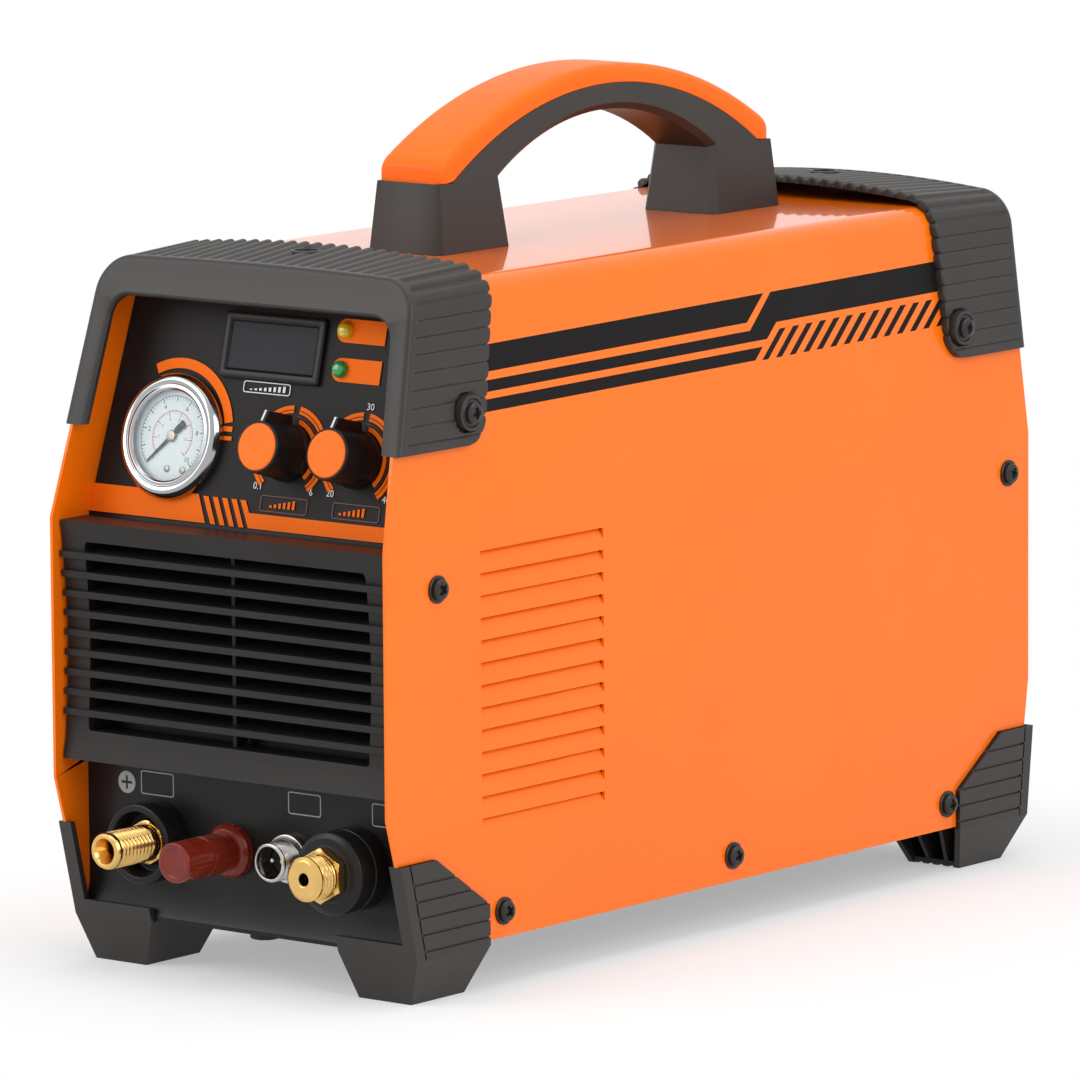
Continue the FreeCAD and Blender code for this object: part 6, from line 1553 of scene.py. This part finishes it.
@dataclass
class FacePrint:
    """Prints on the control film: bands, arcs, boxes and plain numbers."""

    ink: float = 0.05
    gauge: Pair = (-40.0, 30.0)
    knobs: tuple[float, ...] = (12.4, 43.2)
    knob_height: float = 27.2
    right: float = 73.0
    digit: float = 3.4
    numbers: tuple[tuple[str, float, float], ...] = (("0.1", 0.7, 14.9), ("6", 24.4, 14.6), ("20", 32.8, 14.9),
                                                     ("30", 45.1, 45.6), ("40", 57.4, 14.7))

    def build(self) -> None:
        """Print each ink as one piece on the film."""
        seat = face_seat().moved(out=CASE.film)
        for name, outlines, ink in (("orange_print", self.orange(), ORANGE_INK),
                                    ("white_print", self.white(), WHITE_INK),
                                    ("dark_red_print", self.red(), RED_INK)):
            shape = Shape().printed(outlines, self.ink)
            if ink is WHITE_INK:
                for words, across, along in self.numbers:
                    shape.text(words, self.digit, (across, along), -self.ink / 4, self.ink)
            add_piece(name, shape, seat, "overlay_film", finish=ink)

    def orange(self) -> list[np.ndarray]:
        """Work out the orange prints: the gauge's arc, the bands with slanted bars, the lamps' fields, knob arcs.

        Returns:
            Their outlines.
        """
        made = [band(22.6, 26.2, 118.0, 13.0, self.gauge), box_path(-19.0, 32.4, -14.2, 34.2),
                box_path(-19.0, 29.4, -14.0, 30.8)]
        made.append(np.array([(-73.6, 0.3), (-20.3, 0.3), (-25.0, 10.0), (-73.4, 10.0)]))
        for index in range(4):
            start = 4.23 * index
            made.append(np.array([(start - 17.9, 0.2), (start - 15.7, 0.2), (start - 20.5, 9.6),
                                  (start - 22.8, 9.6)]))
        made.append(np.array([(-1.0, 0.2), (self.right, 0.2), (self.right, 5.4), (-1.4, 5.4), (-3.7, 9.6),
                              (-6.1, 9.6)]))
        for along in (70.8, 57.3):
            made.append(rounded_path([(25.8, along - 4.1, 4.0), (47.3, along - 4.1), (47.3, along + 4.1),
                                      (25.8, along + 4.1, 4.0)], 8, closed=True))
        for across in self.knobs:
            centre = (across, self.knob_height)
            for inner, outer, start, end in ((15.0, 16.4, 228.0, 92.0), (13.8, 14.7, 228.0, 92.0),
                                             (15.0, 16.4, 82.0, -50.0), (13.8, 14.7, 82.0, -50.0),
                                             (10.4, 12.0, 226.0, 96.0), (10.4, 12.0, 78.0, -46.0)):
                made.append(band(inner, outer, start, end, centre))
            for bar in range(6):
                left = across + 2.0 * bar - 5.4
                made.append(box_path(left, 8.0, left + 1.1, 8.8 + 0.45 * bar))
        return made

    def white(self) -> list[np.ndarray]:
        """Return the white outlines: the box below the display with a plain row of rising bars in it."""
        bars = [box_path(-9.0 + 2.1 * bar, 47.5, -7.9 + 2.1 * bar, 47.9 + 0.25 * bar) for bar in range(8)]
        return [*frame_halves(-12.0, 46.5, 9.0, 50.6, 0.35), *bars]

    def red(self) -> list[np.ndarray]:
        """Return the dark red outlines: a box under each knob and the thin inner arcs."""
        arcs = [band(12.6, 12.9, 84.0, -46.0, (across, self.knob_height)) for across in self.knobs]
        return [*frame_halves(2.8, 6.5, 23.6, 12.1, 0.3), *frame_halves(34.8, 6.6, 55.5, 12.2, 0.3), *arcs]


@dataclass
class Gauge:
    """Pressure gauge: bezel, printed dial, needle and glass."""

    across: float = -39.5
    along: float = 28.8
    radius: float = 22.0
    proud: float = 5.0
    dial: float = 1.5
    ink: float = 0.04
    start: float = 225.0
    sweep: float = 270.0

    def angle(self, share: float) -> float:
        """Return the angle on the dial at a share of its scale."""
        return self.start - self.sweep * share

    def ticks(self, inner: float, outer: float, count: int, width: float) -> list[np.ndarray]:
        """Share out strokes over the scale, each a thin box turned to its angle.

        Args:
            inner: radius of their inner ends.
            outer: radius of their outer ends.
            count: spaces between them.
            width: their width.

        Returns:
            Their outlines.
        """
        made = []
        for index in range(count + 1):
            ray, side = ways(self.angle(index / count))
            made.append(np.array([ray * inner - side * width / 2, ray * outer - side * width / 2,
                                  ray * outer + side * width / 2, ray * inner + side * width / 2]))
        return made

    def build(self) -> None:
        """Build the bezel, prints, needle and screws on the gauge's seat."""
        seat = face_seat(self.across, self.along)
        bezel = Shape().lathed([(19.55, 0.15), (self.radius, 0.15), (self.radius, 2.6, 1.2), (20.6, 4.6, 1.6),
                                (19.3, self.proud, 0.8), (18.1, self.proud - 0.2, 0.4), (17.7, 4.45, 0.3),
                                (16.6, 4.75, 0.4), (15.8, 4.1, 0.2), (15.7, 3.4), (19.55, 3.4)], 96, closed=True,
                               steps=5)
        add_piece("chromed_bezel", bezel, seat, "chrome", nodes=("gauge_bezel",))
        ring = Shape().lathed([(17.4, 4.2), (18.2, 4.6), (18.2, 4.3), (17.4, 4.0)], 96, closed=True)
        add_piece("bezel_seal", ring, seat, "black_rubber")
        black, red = Shape(), Shape()
        low, high = self.dial - self.ink / 4, self.dial + self.ink
        black.printed([*self.ticks(12.2, 14.0, 10, 0.34), *self.ticks(13.0, 14.0, 50, 0.16),
                       band(14.0, 14.2, self.angle(0), self.angle(1))], self.ink, self.dial)
        for index in range(6):
            black.text(str(2 * index), 2.4, 10.9 * ways(self.angle(index / 5))[0], low, high)
        red.printed([*self.ticks(7.2, 8.8, 7, 0.3), *self.ticks(8.0, 8.8, 35, 0.14),
                     band(8.8, 9.0, self.angle(0), self.angle(1))], self.ink, self.dial)
        for index in range(1, 7):
            red.text(str(2 * index), 1.5, 6.1 * ways(self.angle(index / 7))[0], low, high)
        add_piece("dial_black_scale", black, seat, "dial_face", finish=SCALE_BLACK)
        add_piece("dial_red_scale", red, seat, "dial_face", finish=SCALE_RED)
        heads = Shape()
        for across in (-0.4, 6.6):
            heads.turned(rounded_path([(0.0, 0.5), (1.3, 0.35, 0.3), (1.3, 0.0)]) + np.array([0.0, self.dial]), 24,
                         (across, -11.4))
        add_piece("dial_screws", heads, seat, "nickel_plate", finish=HUB_METAL)
        self.needle(seat)

    def needle(self, seat: Seat) -> None:
        """Build the needle: a long taper to its tip, a thick tail and a metal hub, on the pivot.

        Args:
            seat: the gauge's seat.
        """
        ray, side = ways(self.start)
        marks = [(13.4, 0.12), (12.0, 0.28), (2.0, 0.6), (-2.0, 0.8), (-3.0, 1.2), (-7.0, 1.3)]
        spots = [ray * reach + side * half for reach, half in marks]
        spots += [ray * reach - side * half for reach, half in reversed(marks)]
        hand = Shape().prism(np.array(spots), self.dial + 0.45, self.dial + 0.75)
        hand.lathed([(0.0, self.dial - 2.0), (0.6, self.dial - 2.0), (0.6, self.dial + 0.45)], 24)
        add_piece("gauge_hand", hand, seat, "black_paint", Body.NEEDLE, ("gauge_needle",))
        hub = Shape().lathed([(0.0, self.dial + 1.1), (1.9, self.dial + 1.1, 0.3), (2.1, self.dial + 0.3),
                              (0.0, self.dial + 0.3)], 32)
        add_piece("gauge_hand_hub", hub, seat, "nickel_plate", Body.NEEDLE, finish=HUB_METAL)


@dataclass
class Knob:
    """Control knob: a tapered body with a pointer fin and a white line, and a coloured cap."""

    name: str
    across: float
    body: Body
    along: float = 27.2
    skirt: float = 10.0
    tip: float = 9.0
    height: float = 18.0
    lift: float = 0.8
    cap: float = 8.3
    fin_angle: float = 90.0
    fin_half: float = 1.35
    fin_reach: float = 12.8
    line_half: float = 0.38

    def build(self) -> None:
        """Build the body, cap, fin and line; the shaft stays as it is."""
        seat = face_seat(self.across, self.along)
        core = Shape().lathed([(4.0, self.lift + 0.5), (4.0, self.lift), (self.skirt, self.lift, 0.3),
                               (self.skirt, 3.2, 0.2), (self.skirt - 0.4, 3.7, 0.2), (self.tip, self.height, 0.7),
                               (self.cap, self.height, 0.15), (self.cap, self.height - 0.5),
                               (0.0, self.height - 0.5)], 72)
        core.join(self.fin())
        add_piece(self.name + "_knob_body", core, seat, "black_plastic", self.body, (self.name + "_knob",))
        disc = Shape().lathed([(0.0, self.height - 1.0), (self.cap - 0.15, self.height - 1.0),
                               (self.cap - 0.15, self.height + 0.28, 0.55), (self.cap - 1.3, self.height + 0.3, 0.4),
                               (0.0, self.height + 0.18)], 72)
        add_piece(self.name + "_knob_disc", disc, seat, "orange_plastic", self.body, (self.name + "_knob_cap",))
        add_piece(self.name + "_knob_line", self.line(), seat, "dial_face", self.body, finish=WHITE_INK)

    def beside(self, outline: np.ndarray, across: float) -> np.ndarray:
        """Return rows of reach and height as points, at a distance across from the way that the fin points."""
        ray, side = ways(self.fin_angle)
        return np.column_stack([outline[:, :1] * ray + side * across, outline[:, 1]])

    def line(self) -> Shape:
        """Lay the white line on the fin's end: a slanted bar with four rows of corners in reach and height.

        Returns:
            The line.
        """
        corners = np.array([(self.tip + 0.1, self.height - 0.55), (self.fin_reach + 0.1, self.height - 2.1),
                            (self.fin_reach + 0.1, self.height - 3.0), (self.tip + 0.1, self.height - 1.6)])
        grid = np.stack([self.beside(corners, across) for across in (-self.line_half, self.line_half)], axis=1)
        return Shape().grid(grid, wrap_rows=True).lid(grid[:, 0]).lid(grid[:, 1])

    def fin(self) -> Shape:
        """Build the fin: its side outline in reach and height, carried across with edges drawn in at both faces.

        Returns:
            The fin.
        """
        outline = rounded_path([(4.0, 2.8), (self.fin_reach, 2.8, 0.5), (self.fin_reach, self.height - 2.2, 0.5),
                                (self.tip, self.height - 0.6, 0.3), (4.0, self.height - 0.6)], 4, closed=True)
        middle = outline.mean(axis=0)
        rows = []
        for across, draw in ((-self.fin_half, 0.3), (-self.fin_half + 0.3, 0.0), (self.fin_half - 0.3, 0.0),
                             (self.fin_half, 0.3)):
            way = outline - middle
            shrunk = middle + way * (1 - draw / np.linalg.norm(way, axis=1))[:, None]
            rows.append(self.beside(shrunk, across))
        return Shape().tube(np.stack(rows))


@dataclass
class ControlFace:
    """Sloping control face: prints, gauge, display, lamps and knobs."""

    lamp_across: float = 29.9
    lamp_radius: float = 2.98

    def build(self) -> None:
        """Build the face's pieces."""
        FacePrint().build()
        Gauge().build()
        for name, along in (("warning_lamp", 70.8), ("power_lamp", 57.4)):
            lens = Shape().lathed([(0.0, -1.0), (self.lamp_radius, -1.0), (self.lamp_radius, 3.5, 2.4), (0.0, 3.6)],
                                  32, steps=7)
            add_piece(name + "_lens", lens, face_seat(self.lamp_across, along), SLOT_OF[name], nodes=(name,))
        Knob("left", 12.4, Body.LEFT_KNOB).build()
        Knob("right", 43.2, Body.RIGHT_KNOB).build()
        self.display_frame()
        soften("display_window", "display_screen", 0.2)

    def display_frame(self) -> None:
        """Build the display's frame: rings of a rounded box, each with its own inset and height, joined in order."""
        rings = []
        for inset, out, radius in ((0.0, -1.0, 1.0), (0.0, 1.5, 1.0), (0.35, 1.9, 0.9), (0.7, 2.0, 0.8),
                                   (2.3, 2.0, 0.6), (2.6, 1.9, 0.5), (3.25, 1.25, 0.3), (3.3, 1.1, 0.3),
                                   (3.3, -1.0, 0.3)):
            ring = box_path(-23.0 + inset, 51.0 + inset, 21.5 - inset, 74.0 - inset, radius)
            rings.append(np.column_stack([ring, np.full(len(ring), out)]))
        shape = Shape().grid(np.stack(rings), wrap_rows=True, wrap_columns=True)
        add_piece("display_frame", shape, face_seat(), SLOT_OF["display_bezel"], nodes=("display_bezel",))


@dataclass
class Connectors:
    """Connector face: two torch connectors, the insulated terminal and the signal socket."""

    left: float = -41.6
    right: float = 47.8
    terminal: float = -8.0
    signal: float = 18.0

    def build(self) -> None:
        """Build each connector on its own seat."""
        self.left_connector(port_seat(self.left))
        self.right_connector(port_seat(self.right))
        self.insulated_terminal(port_seat(self.terminal))
        self.signal_socket(port_seat(self.signal))

    def left_connector(self, seat: Seat) -> None:
        """Build the left cup and its brass fitting with a conical mouth.

        Args:
            seat: the connector's seat.
        """
        cup = Shape().lathed([(6.7, 2.6), (11.0, 2.6, 0.5), (11.4, 11.5, 0.6), (14.2, 11.5, 1.0), (14.2, 0.1),
                              (6.7, 0.1)], 72, closed=True)
        add_piece("left_connector_cup", cup, seat, "black_plastic", nodes=("left_socket",))
        brass = Shape()
        threaded_rod(brass, 6.5, 0.75, 1.9, 7.4, 27.4,
                     before=[(2.4, 0.5), (6.3, 0.5), (6.3, 6.6), (5.7, 6.9), (5.7, 7.3)],
                     after=[(6.1, 28.3), (5.7, 28.8, 0.2), (4.6, 28.8, 0.2), (2.4, 24.0, 0.4), (2.4, 0.5)])
        hexagon(brass, 14.7, 2.7, 6.9, 5.0)
        add_piece("left_brass_fitting", brass, seat, "brass", nodes=("left_fitting",))

    def right_connector(self, seat: Seat) -> None:
        """Build the right insulating disc and its brass fitting with a small bore.

        Args:
            seat: the connector's seat.
        """
        disc = Shape().lathed([(7.8, 16.7), (9.6, 16.7, 0.3), (10.2, 16.1), (12.4, 16.1, 0.4), (14.4, 15.2, 1.0),
                               (14.4, 8.2, 0.3), (13.9, 7.9), (13.9, 7.3), (14.4, 7.0, 0.3), (14.4, 0.1),
                               (7.8, 0.1)], 72, closed=True)
        add_piece("right_connector_disc", disc, seat, "black_plastic", nodes=("right_socket",))
        brass = Shape()
        threaded_rod(brass, 7.7, 0.75, 1.7, 20.9, 28.0, before=[(2.2, 10.0), (7.2, 10.0), (7.2, 20.4), (6.9, 20.8)],
                     after=[(7.1, 28.5), (6.4, 29.1, 0.3), (2.6, 29.1, 0.3), (2.2, 28.7), (2.2, 10.0)])
        hexagon(brass, 17.0, 16.8, 20.6, 6.0)
        add_piece("right_brass_fitting", brass, seat, "brass", nodes=("right_fitting",))

    def ribbed(self, radius: float, depth: float, ribs: int, low: float, high: float, tip: Sequence[Corner],
               foot: Sequence[Corner]) -> Shape:
        """Turn a piece whose wall has ribs: its radius sways by the depth as a rounded wave of the angle.

        Args:
            radius: the wall's radius on a rib.
            depth: how deep the wall goes between ribs.
            ribs: their number.
            low: where the ribs start.
            high: where they end.
            tip: corners of radius and height above the wall.
            foot: corners below it.

        Returns:
            The piece.
        """
        sides = ribs * 6
        angle = (np.arange(sides) * FULL_TURN / sides)[:, None]
        wave = depth * (0.5 - 0.5 * np.cos(angle * ribs)) ** 2
        heights = np.linspace(low, high, 6)[None, :]
        radii = radius - wave * np.clip(np.minimum(heights - low, high - heights) / 0.8, 0, 1)
        return Shape().capped(radii, np.broadcast_to(heights, radii.shape), foot, tip, 4)

    def insulated_terminal(self, seat: Seat) -> None:
        """Build the terminal's collar and its ribbed screw cap.

        Args:
            seat: the terminal's seat.
        """
        collar = self.ribbed(9.4, 0.5, 18, 0.3, 2.9, [(9.2, 3.2, 0.3), (7.9, 4.9, 0.4), (3.1, 4.9)],
                             [(3.1, 0.1), (9.2, 0.1), (9.4, 0.2)])
        add_piece("terminal_collar", collar, seat, "red_phenolic", nodes=("terminal_base",))
        cap = self.ribbed(7.1, 0.35, 16, 18.0, 30.2,
                          [(7.05, 30.5), (6.9, 31.2, 0.6), (5.2, 31.2, 0.3), (4.9, 30.9, 0.3), (0.0, 30.8)],
                          [(0.0, 5.3), (6.5, 5.3, 0.3), (6.5, 8.6), (7.1, 9.2, 0.4), (7.1, 17.2), (6.6, 17.4),
                           (6.6, 17.8), (7.1, 18.0)])
        add_piece("terminal_screw_cap", cap, seat, "red_phenolic", Body.TERMINAL_CAP, ("terminal_cap",))

    def signal_socket(self, seat: Seat) -> None:
        """Build the threaded signal socket with its insert and pins.

        Args:
            seat: the socket's seat.
        """
        shell = Shape()
        threaded_rod(shell, 6.8, 0.35, 0.75, 2.7, 11.2,
                     before=[(5.6, 0.2), (8.6, 0.2), (8.6, 2.4, 0.5), (6.6, 2.4), (6.5, 2.6)],
                     after=[(6.6, 11.5), (6.3, 11.7, 0.15), (5.7, 11.7, 0.15), (5.6, 11.4), (5.6, 0.2)])
        add_piece("signal_socket_barrel", shell, seat, "nickel_plate", nodes=("signal_socket_shell",))
        insert = Shape().lathed([(0.0, 0.5), (5.5, 0.5), (5.5, 3.6, 0.2), (0.0, 3.6)], 48)
        add_piece("signal_socket_core", insert, seat, "black_plastic", nodes=("signal_socket_insert",))
        pins = Shape()
        for across in (-2.2, 2.2):
            pins.turned(rounded_path([(0.0, 3.4), (0.9, 3.4), (0.9, 7.8, 0.8), (0.0, 7.8)], 5), 20, (across, 0.0))
        add_piece("signal_socket_contacts", pins, seat, "nickel_plate", nodes=("signal_socket_pins",))


@dataclass
class PanelMarks:
    """Plain marks printed beside the connectors: a plus in a disc and three empty frames."""

    line: float = 0.4
    ink: float = 0.05
    plus: Pair = (-55.9, 63.8)
    disc: float = 3.9
    arm: float = 2.4
    half: float = 0.45
    frames: tuple[Corner, ...] = ((-49.4, 60.4, -34.4, 68.7), (17.2, 60.4, 31.8, 68.2), (54.4, 60.0, 69.0, 68.0))

    def quarters(self) -> list[np.ndarray]:
        """Work out the disc about the plus: four quarters of it, then the four pieces beyond the plus's ends.

        Returns:
            Their outlines.
        """
        made = []
        for start in (0.0, 90.0, 180.0, 270.0):
            corner = np.array(self.plus) + ways(start + 45.0)[0] * self.half * math.sqrt(2)
            made.append(np.concatenate([[corner], arc(self.disc, start + 7.0, start + 83.0, self.plus, 8.0)]))
        for start in (0.0, 90.0, 180.0, 270.0):
            made.append(np.concatenate([arc(self.disc, start - 7.5, start + 7.5, self.plus, 5.0),
                                        arc(self.arm, start + 11.0, start - 11.0, self.plus, 8.0)]))
        return made

    def build(self) -> None:
        """Print the marks on the connector face."""
        seat = port_seat(0.0).moved(up=-CASE.port_height)
        frames = (half for sides in self.frames for half in frame_halves(*sides, self.line))
        shape = Shape().printed(self.quarters(), self.ink).printed(frames, self.ink)
        add_piece("connector_marks", shape, seat, "black_paint", finish=GREY_INK)


@dataclass
class RearFittings:
    """Fittings of the rear panel, and the plug under the case: rounded copies, each with its edges' width."""

    copies: tuple[tuple[str, str, float], ...] = (
        ("power_switch_body", "switch_housing", 0.4), ("power_switch_rocker", "switch_rocker", 0.5),
        ("cable_gland", "lead_gland", 0.3), ("air_inlet", "air_nipple", 0.2), ("fan_frame", "fan_housing", 0.4),
        ("fan_rotor", "fan_wheel", 0.3), ("base_plug", "drain_plug", 0.4), ("gland_nut", "gland_lock_nut", 0.3),
    )

    def build(self) -> None:
        """Round the fittings' edges."""
        for node, name, width in self.copies:
            soften(node, name, width)


@dataclass
class Studio:
    """Pale floor, soft lights and the camera of the photograph."""

    eye: Triple = (2009.97, -2529.88, 613.05)
    azimuth: float = 38.57
    elevation: float = 8.45
    roll: float = -0.41
    focal: float = 9164.61
    image: float = 1080.0
    sensor: float = 36.0
    floor: float = 30.0
    floor_colour: Colour = (0.91, 0.92, 0.925)
    footprint: Pair = (0.077, 0.185)
    shadow_reach: float = 0.13
    near_glow: float = 0.38
    sky: float = 0.62
    lamps: tuple[tuple[str, Triple, Triple, float, float], ...] = (
        ("right_softbox", (1.9, -0.3, 1.1), (0.0, 0.0, 0.15), 1.4, 16.0),
        ("left_softbox", (-1.3, -1.9, 1.3), (0.0, 0.0, 0.15), 1.5, 22.0),
        ("top_softbox", (0.2, 0.1, 2.1), (0.0, 0.0, 0.2), 1.8, 14.0),
    )

    def build(self) -> None:
        """Set up the view settings, world, floor, lights and camera."""
        bpy.context.scene.view_settings.view_transform = "Standard"
        self.world()
        self.ground()
        for name, place, target, size, power in self.lamps:
            light = bpy.data.lights.new(name, "AREA")
            light.shape = "SQUARE"
            light.size = size
            light.energy = power
            lamp = bpy.data.objects.new(name, light)
            lamp.location = place
            lamp.rotation_euler = (Vector(target) - Vector(place)).to_track_quat("-Z", "Y").to_euler()
            bpy.context.scene.collection.objects.link(lamp)
        self.camera()

    def world(self) -> None:
        """Light from all round at a low level, and white for what the camera, metal and glass see."""
        world = bpy.data.worlds.new("studio")
        bpy.context.scene.world = world
        shader = Shader(world, "ShaderNodeOutputWorld")
        level = shader.seen() * (1.0 - self.sky) + self.sky
        shader.surface(shader.node("ShaderNodeBackground", None, {"Color": (1.0, 1.0, 1.0, 1.0), "Strength": level}))

    def ground(self) -> None:
        """Lay the floor: plain near the unit, where its shadow falls, and an even white beyond.

        The white's share climbs from a low one at the unit's footprint to 1 at the shadow's reach from it.
        """
        half = self.floor / 2
        mesh = bpy.data.meshes.new("floor")
        mesh.from_pydata([(-half, -half, 0.0), (-half, half, 0.0), (half, -half, 0.0), (half, half, 0.0)], [],
                         [(0, 2, 3, 1)])
        floor = bpy.data.objects.new("floor", mesh)
        bpy.context.scene.collection.objects.link(floor)
        shader = Shader(bpy.data.materials.new("floor_white"))
        away = shader.vector("ABSOLUTE", shader.places()).outputs[0]
        away = shader.vector("SUBTRACT", away, (*self.footprint, 1.0)).outputs[0]
        away = shader.vector("MAXIMUM", away, (0.0, 0.0, 0.0)).outputs[0]
        distance = Signal(shader, shader.vector("LENGTH", away).outputs["Value"])
        far = distance.rising(0.0, self.shadow_reach) * (1.0 - self.near_glow) + self.near_glow
        paint = shader.node("ShaderNodeBsdfDiffuse", None, {"Color": (*self.floor_colour, 1.0)})
        glow = shader.node("ShaderNodeEmission", None, {"Color": (1.0, 1.0, 1.0, 1.0), "Strength": 1.0})
        shader.blend(far * shader.seen(), paint, glow)
        mesh.materials.append(shader.owner)

    def camera(self) -> None:
        """Place the camera: it looks along the fitted direction, turned by the roll about that direction."""
        turn, tilt, roll = (math.radians(angle) for angle in (self.azimuth, self.elevation, self.roll))
        ahead = -np.array([math.sin(turn) * math.cos(tilt), -math.cos(turn) * math.cos(tilt), math.sin(tilt)])
        level = np.cross(ahead, [0.0, 0.0, 1.0])
        level /= np.linalg.norm(level)
        upright = np.cross(level, ahead)
        right = math.cos(roll) * level + math.sin(roll) * upright
        up = math.cos(roll) * upright - math.sin(roll) * level
        data = bpy.data.cameras.new("photo_camera")
        data.sensor_width = self.sensor
        data.lens = self.focal / self.image * self.sensor
        data.clip_start = 0.1
        data.clip_end = 100.0
        camera = bpy.data.objects.new("photo_camera", data)
        pose = Matrix.Identity(4)
        for row in range(3):
            pose[row][:] = (right[row], up[row], -ahead[row], self.eye[row] * MM)
        camera.matrix_world = pose
        bpy.context.scene.collection.objects.link(camera)
        bpy.context.scene.camera = camera


def dress_rest() -> None:
    """Give every CAD node that still shows its own finish."""
    for node, piece in frame["nodes"].items():
        if piece.hide_render:
            continue
        piece.data.materials.clear()
        piece.data.materials.append(FINISHES[SLOT_OF[node]].material())
        LOG.info("%s: CAD piece with its finish", node)


def main() -> None:
    """Build the unit's looks in order."""
    logging.basicConfig(level=logging.INFO, format="%(message)s")
    for assembly in (Studio(), Shell(), Mouldings(), Handle(), Screws(), ControlFace(), Connectors(), PanelMarks(),
                     RearFittings()):
        assembly.build()
    dress_rest()


if __name__ == "__main__":
    main()
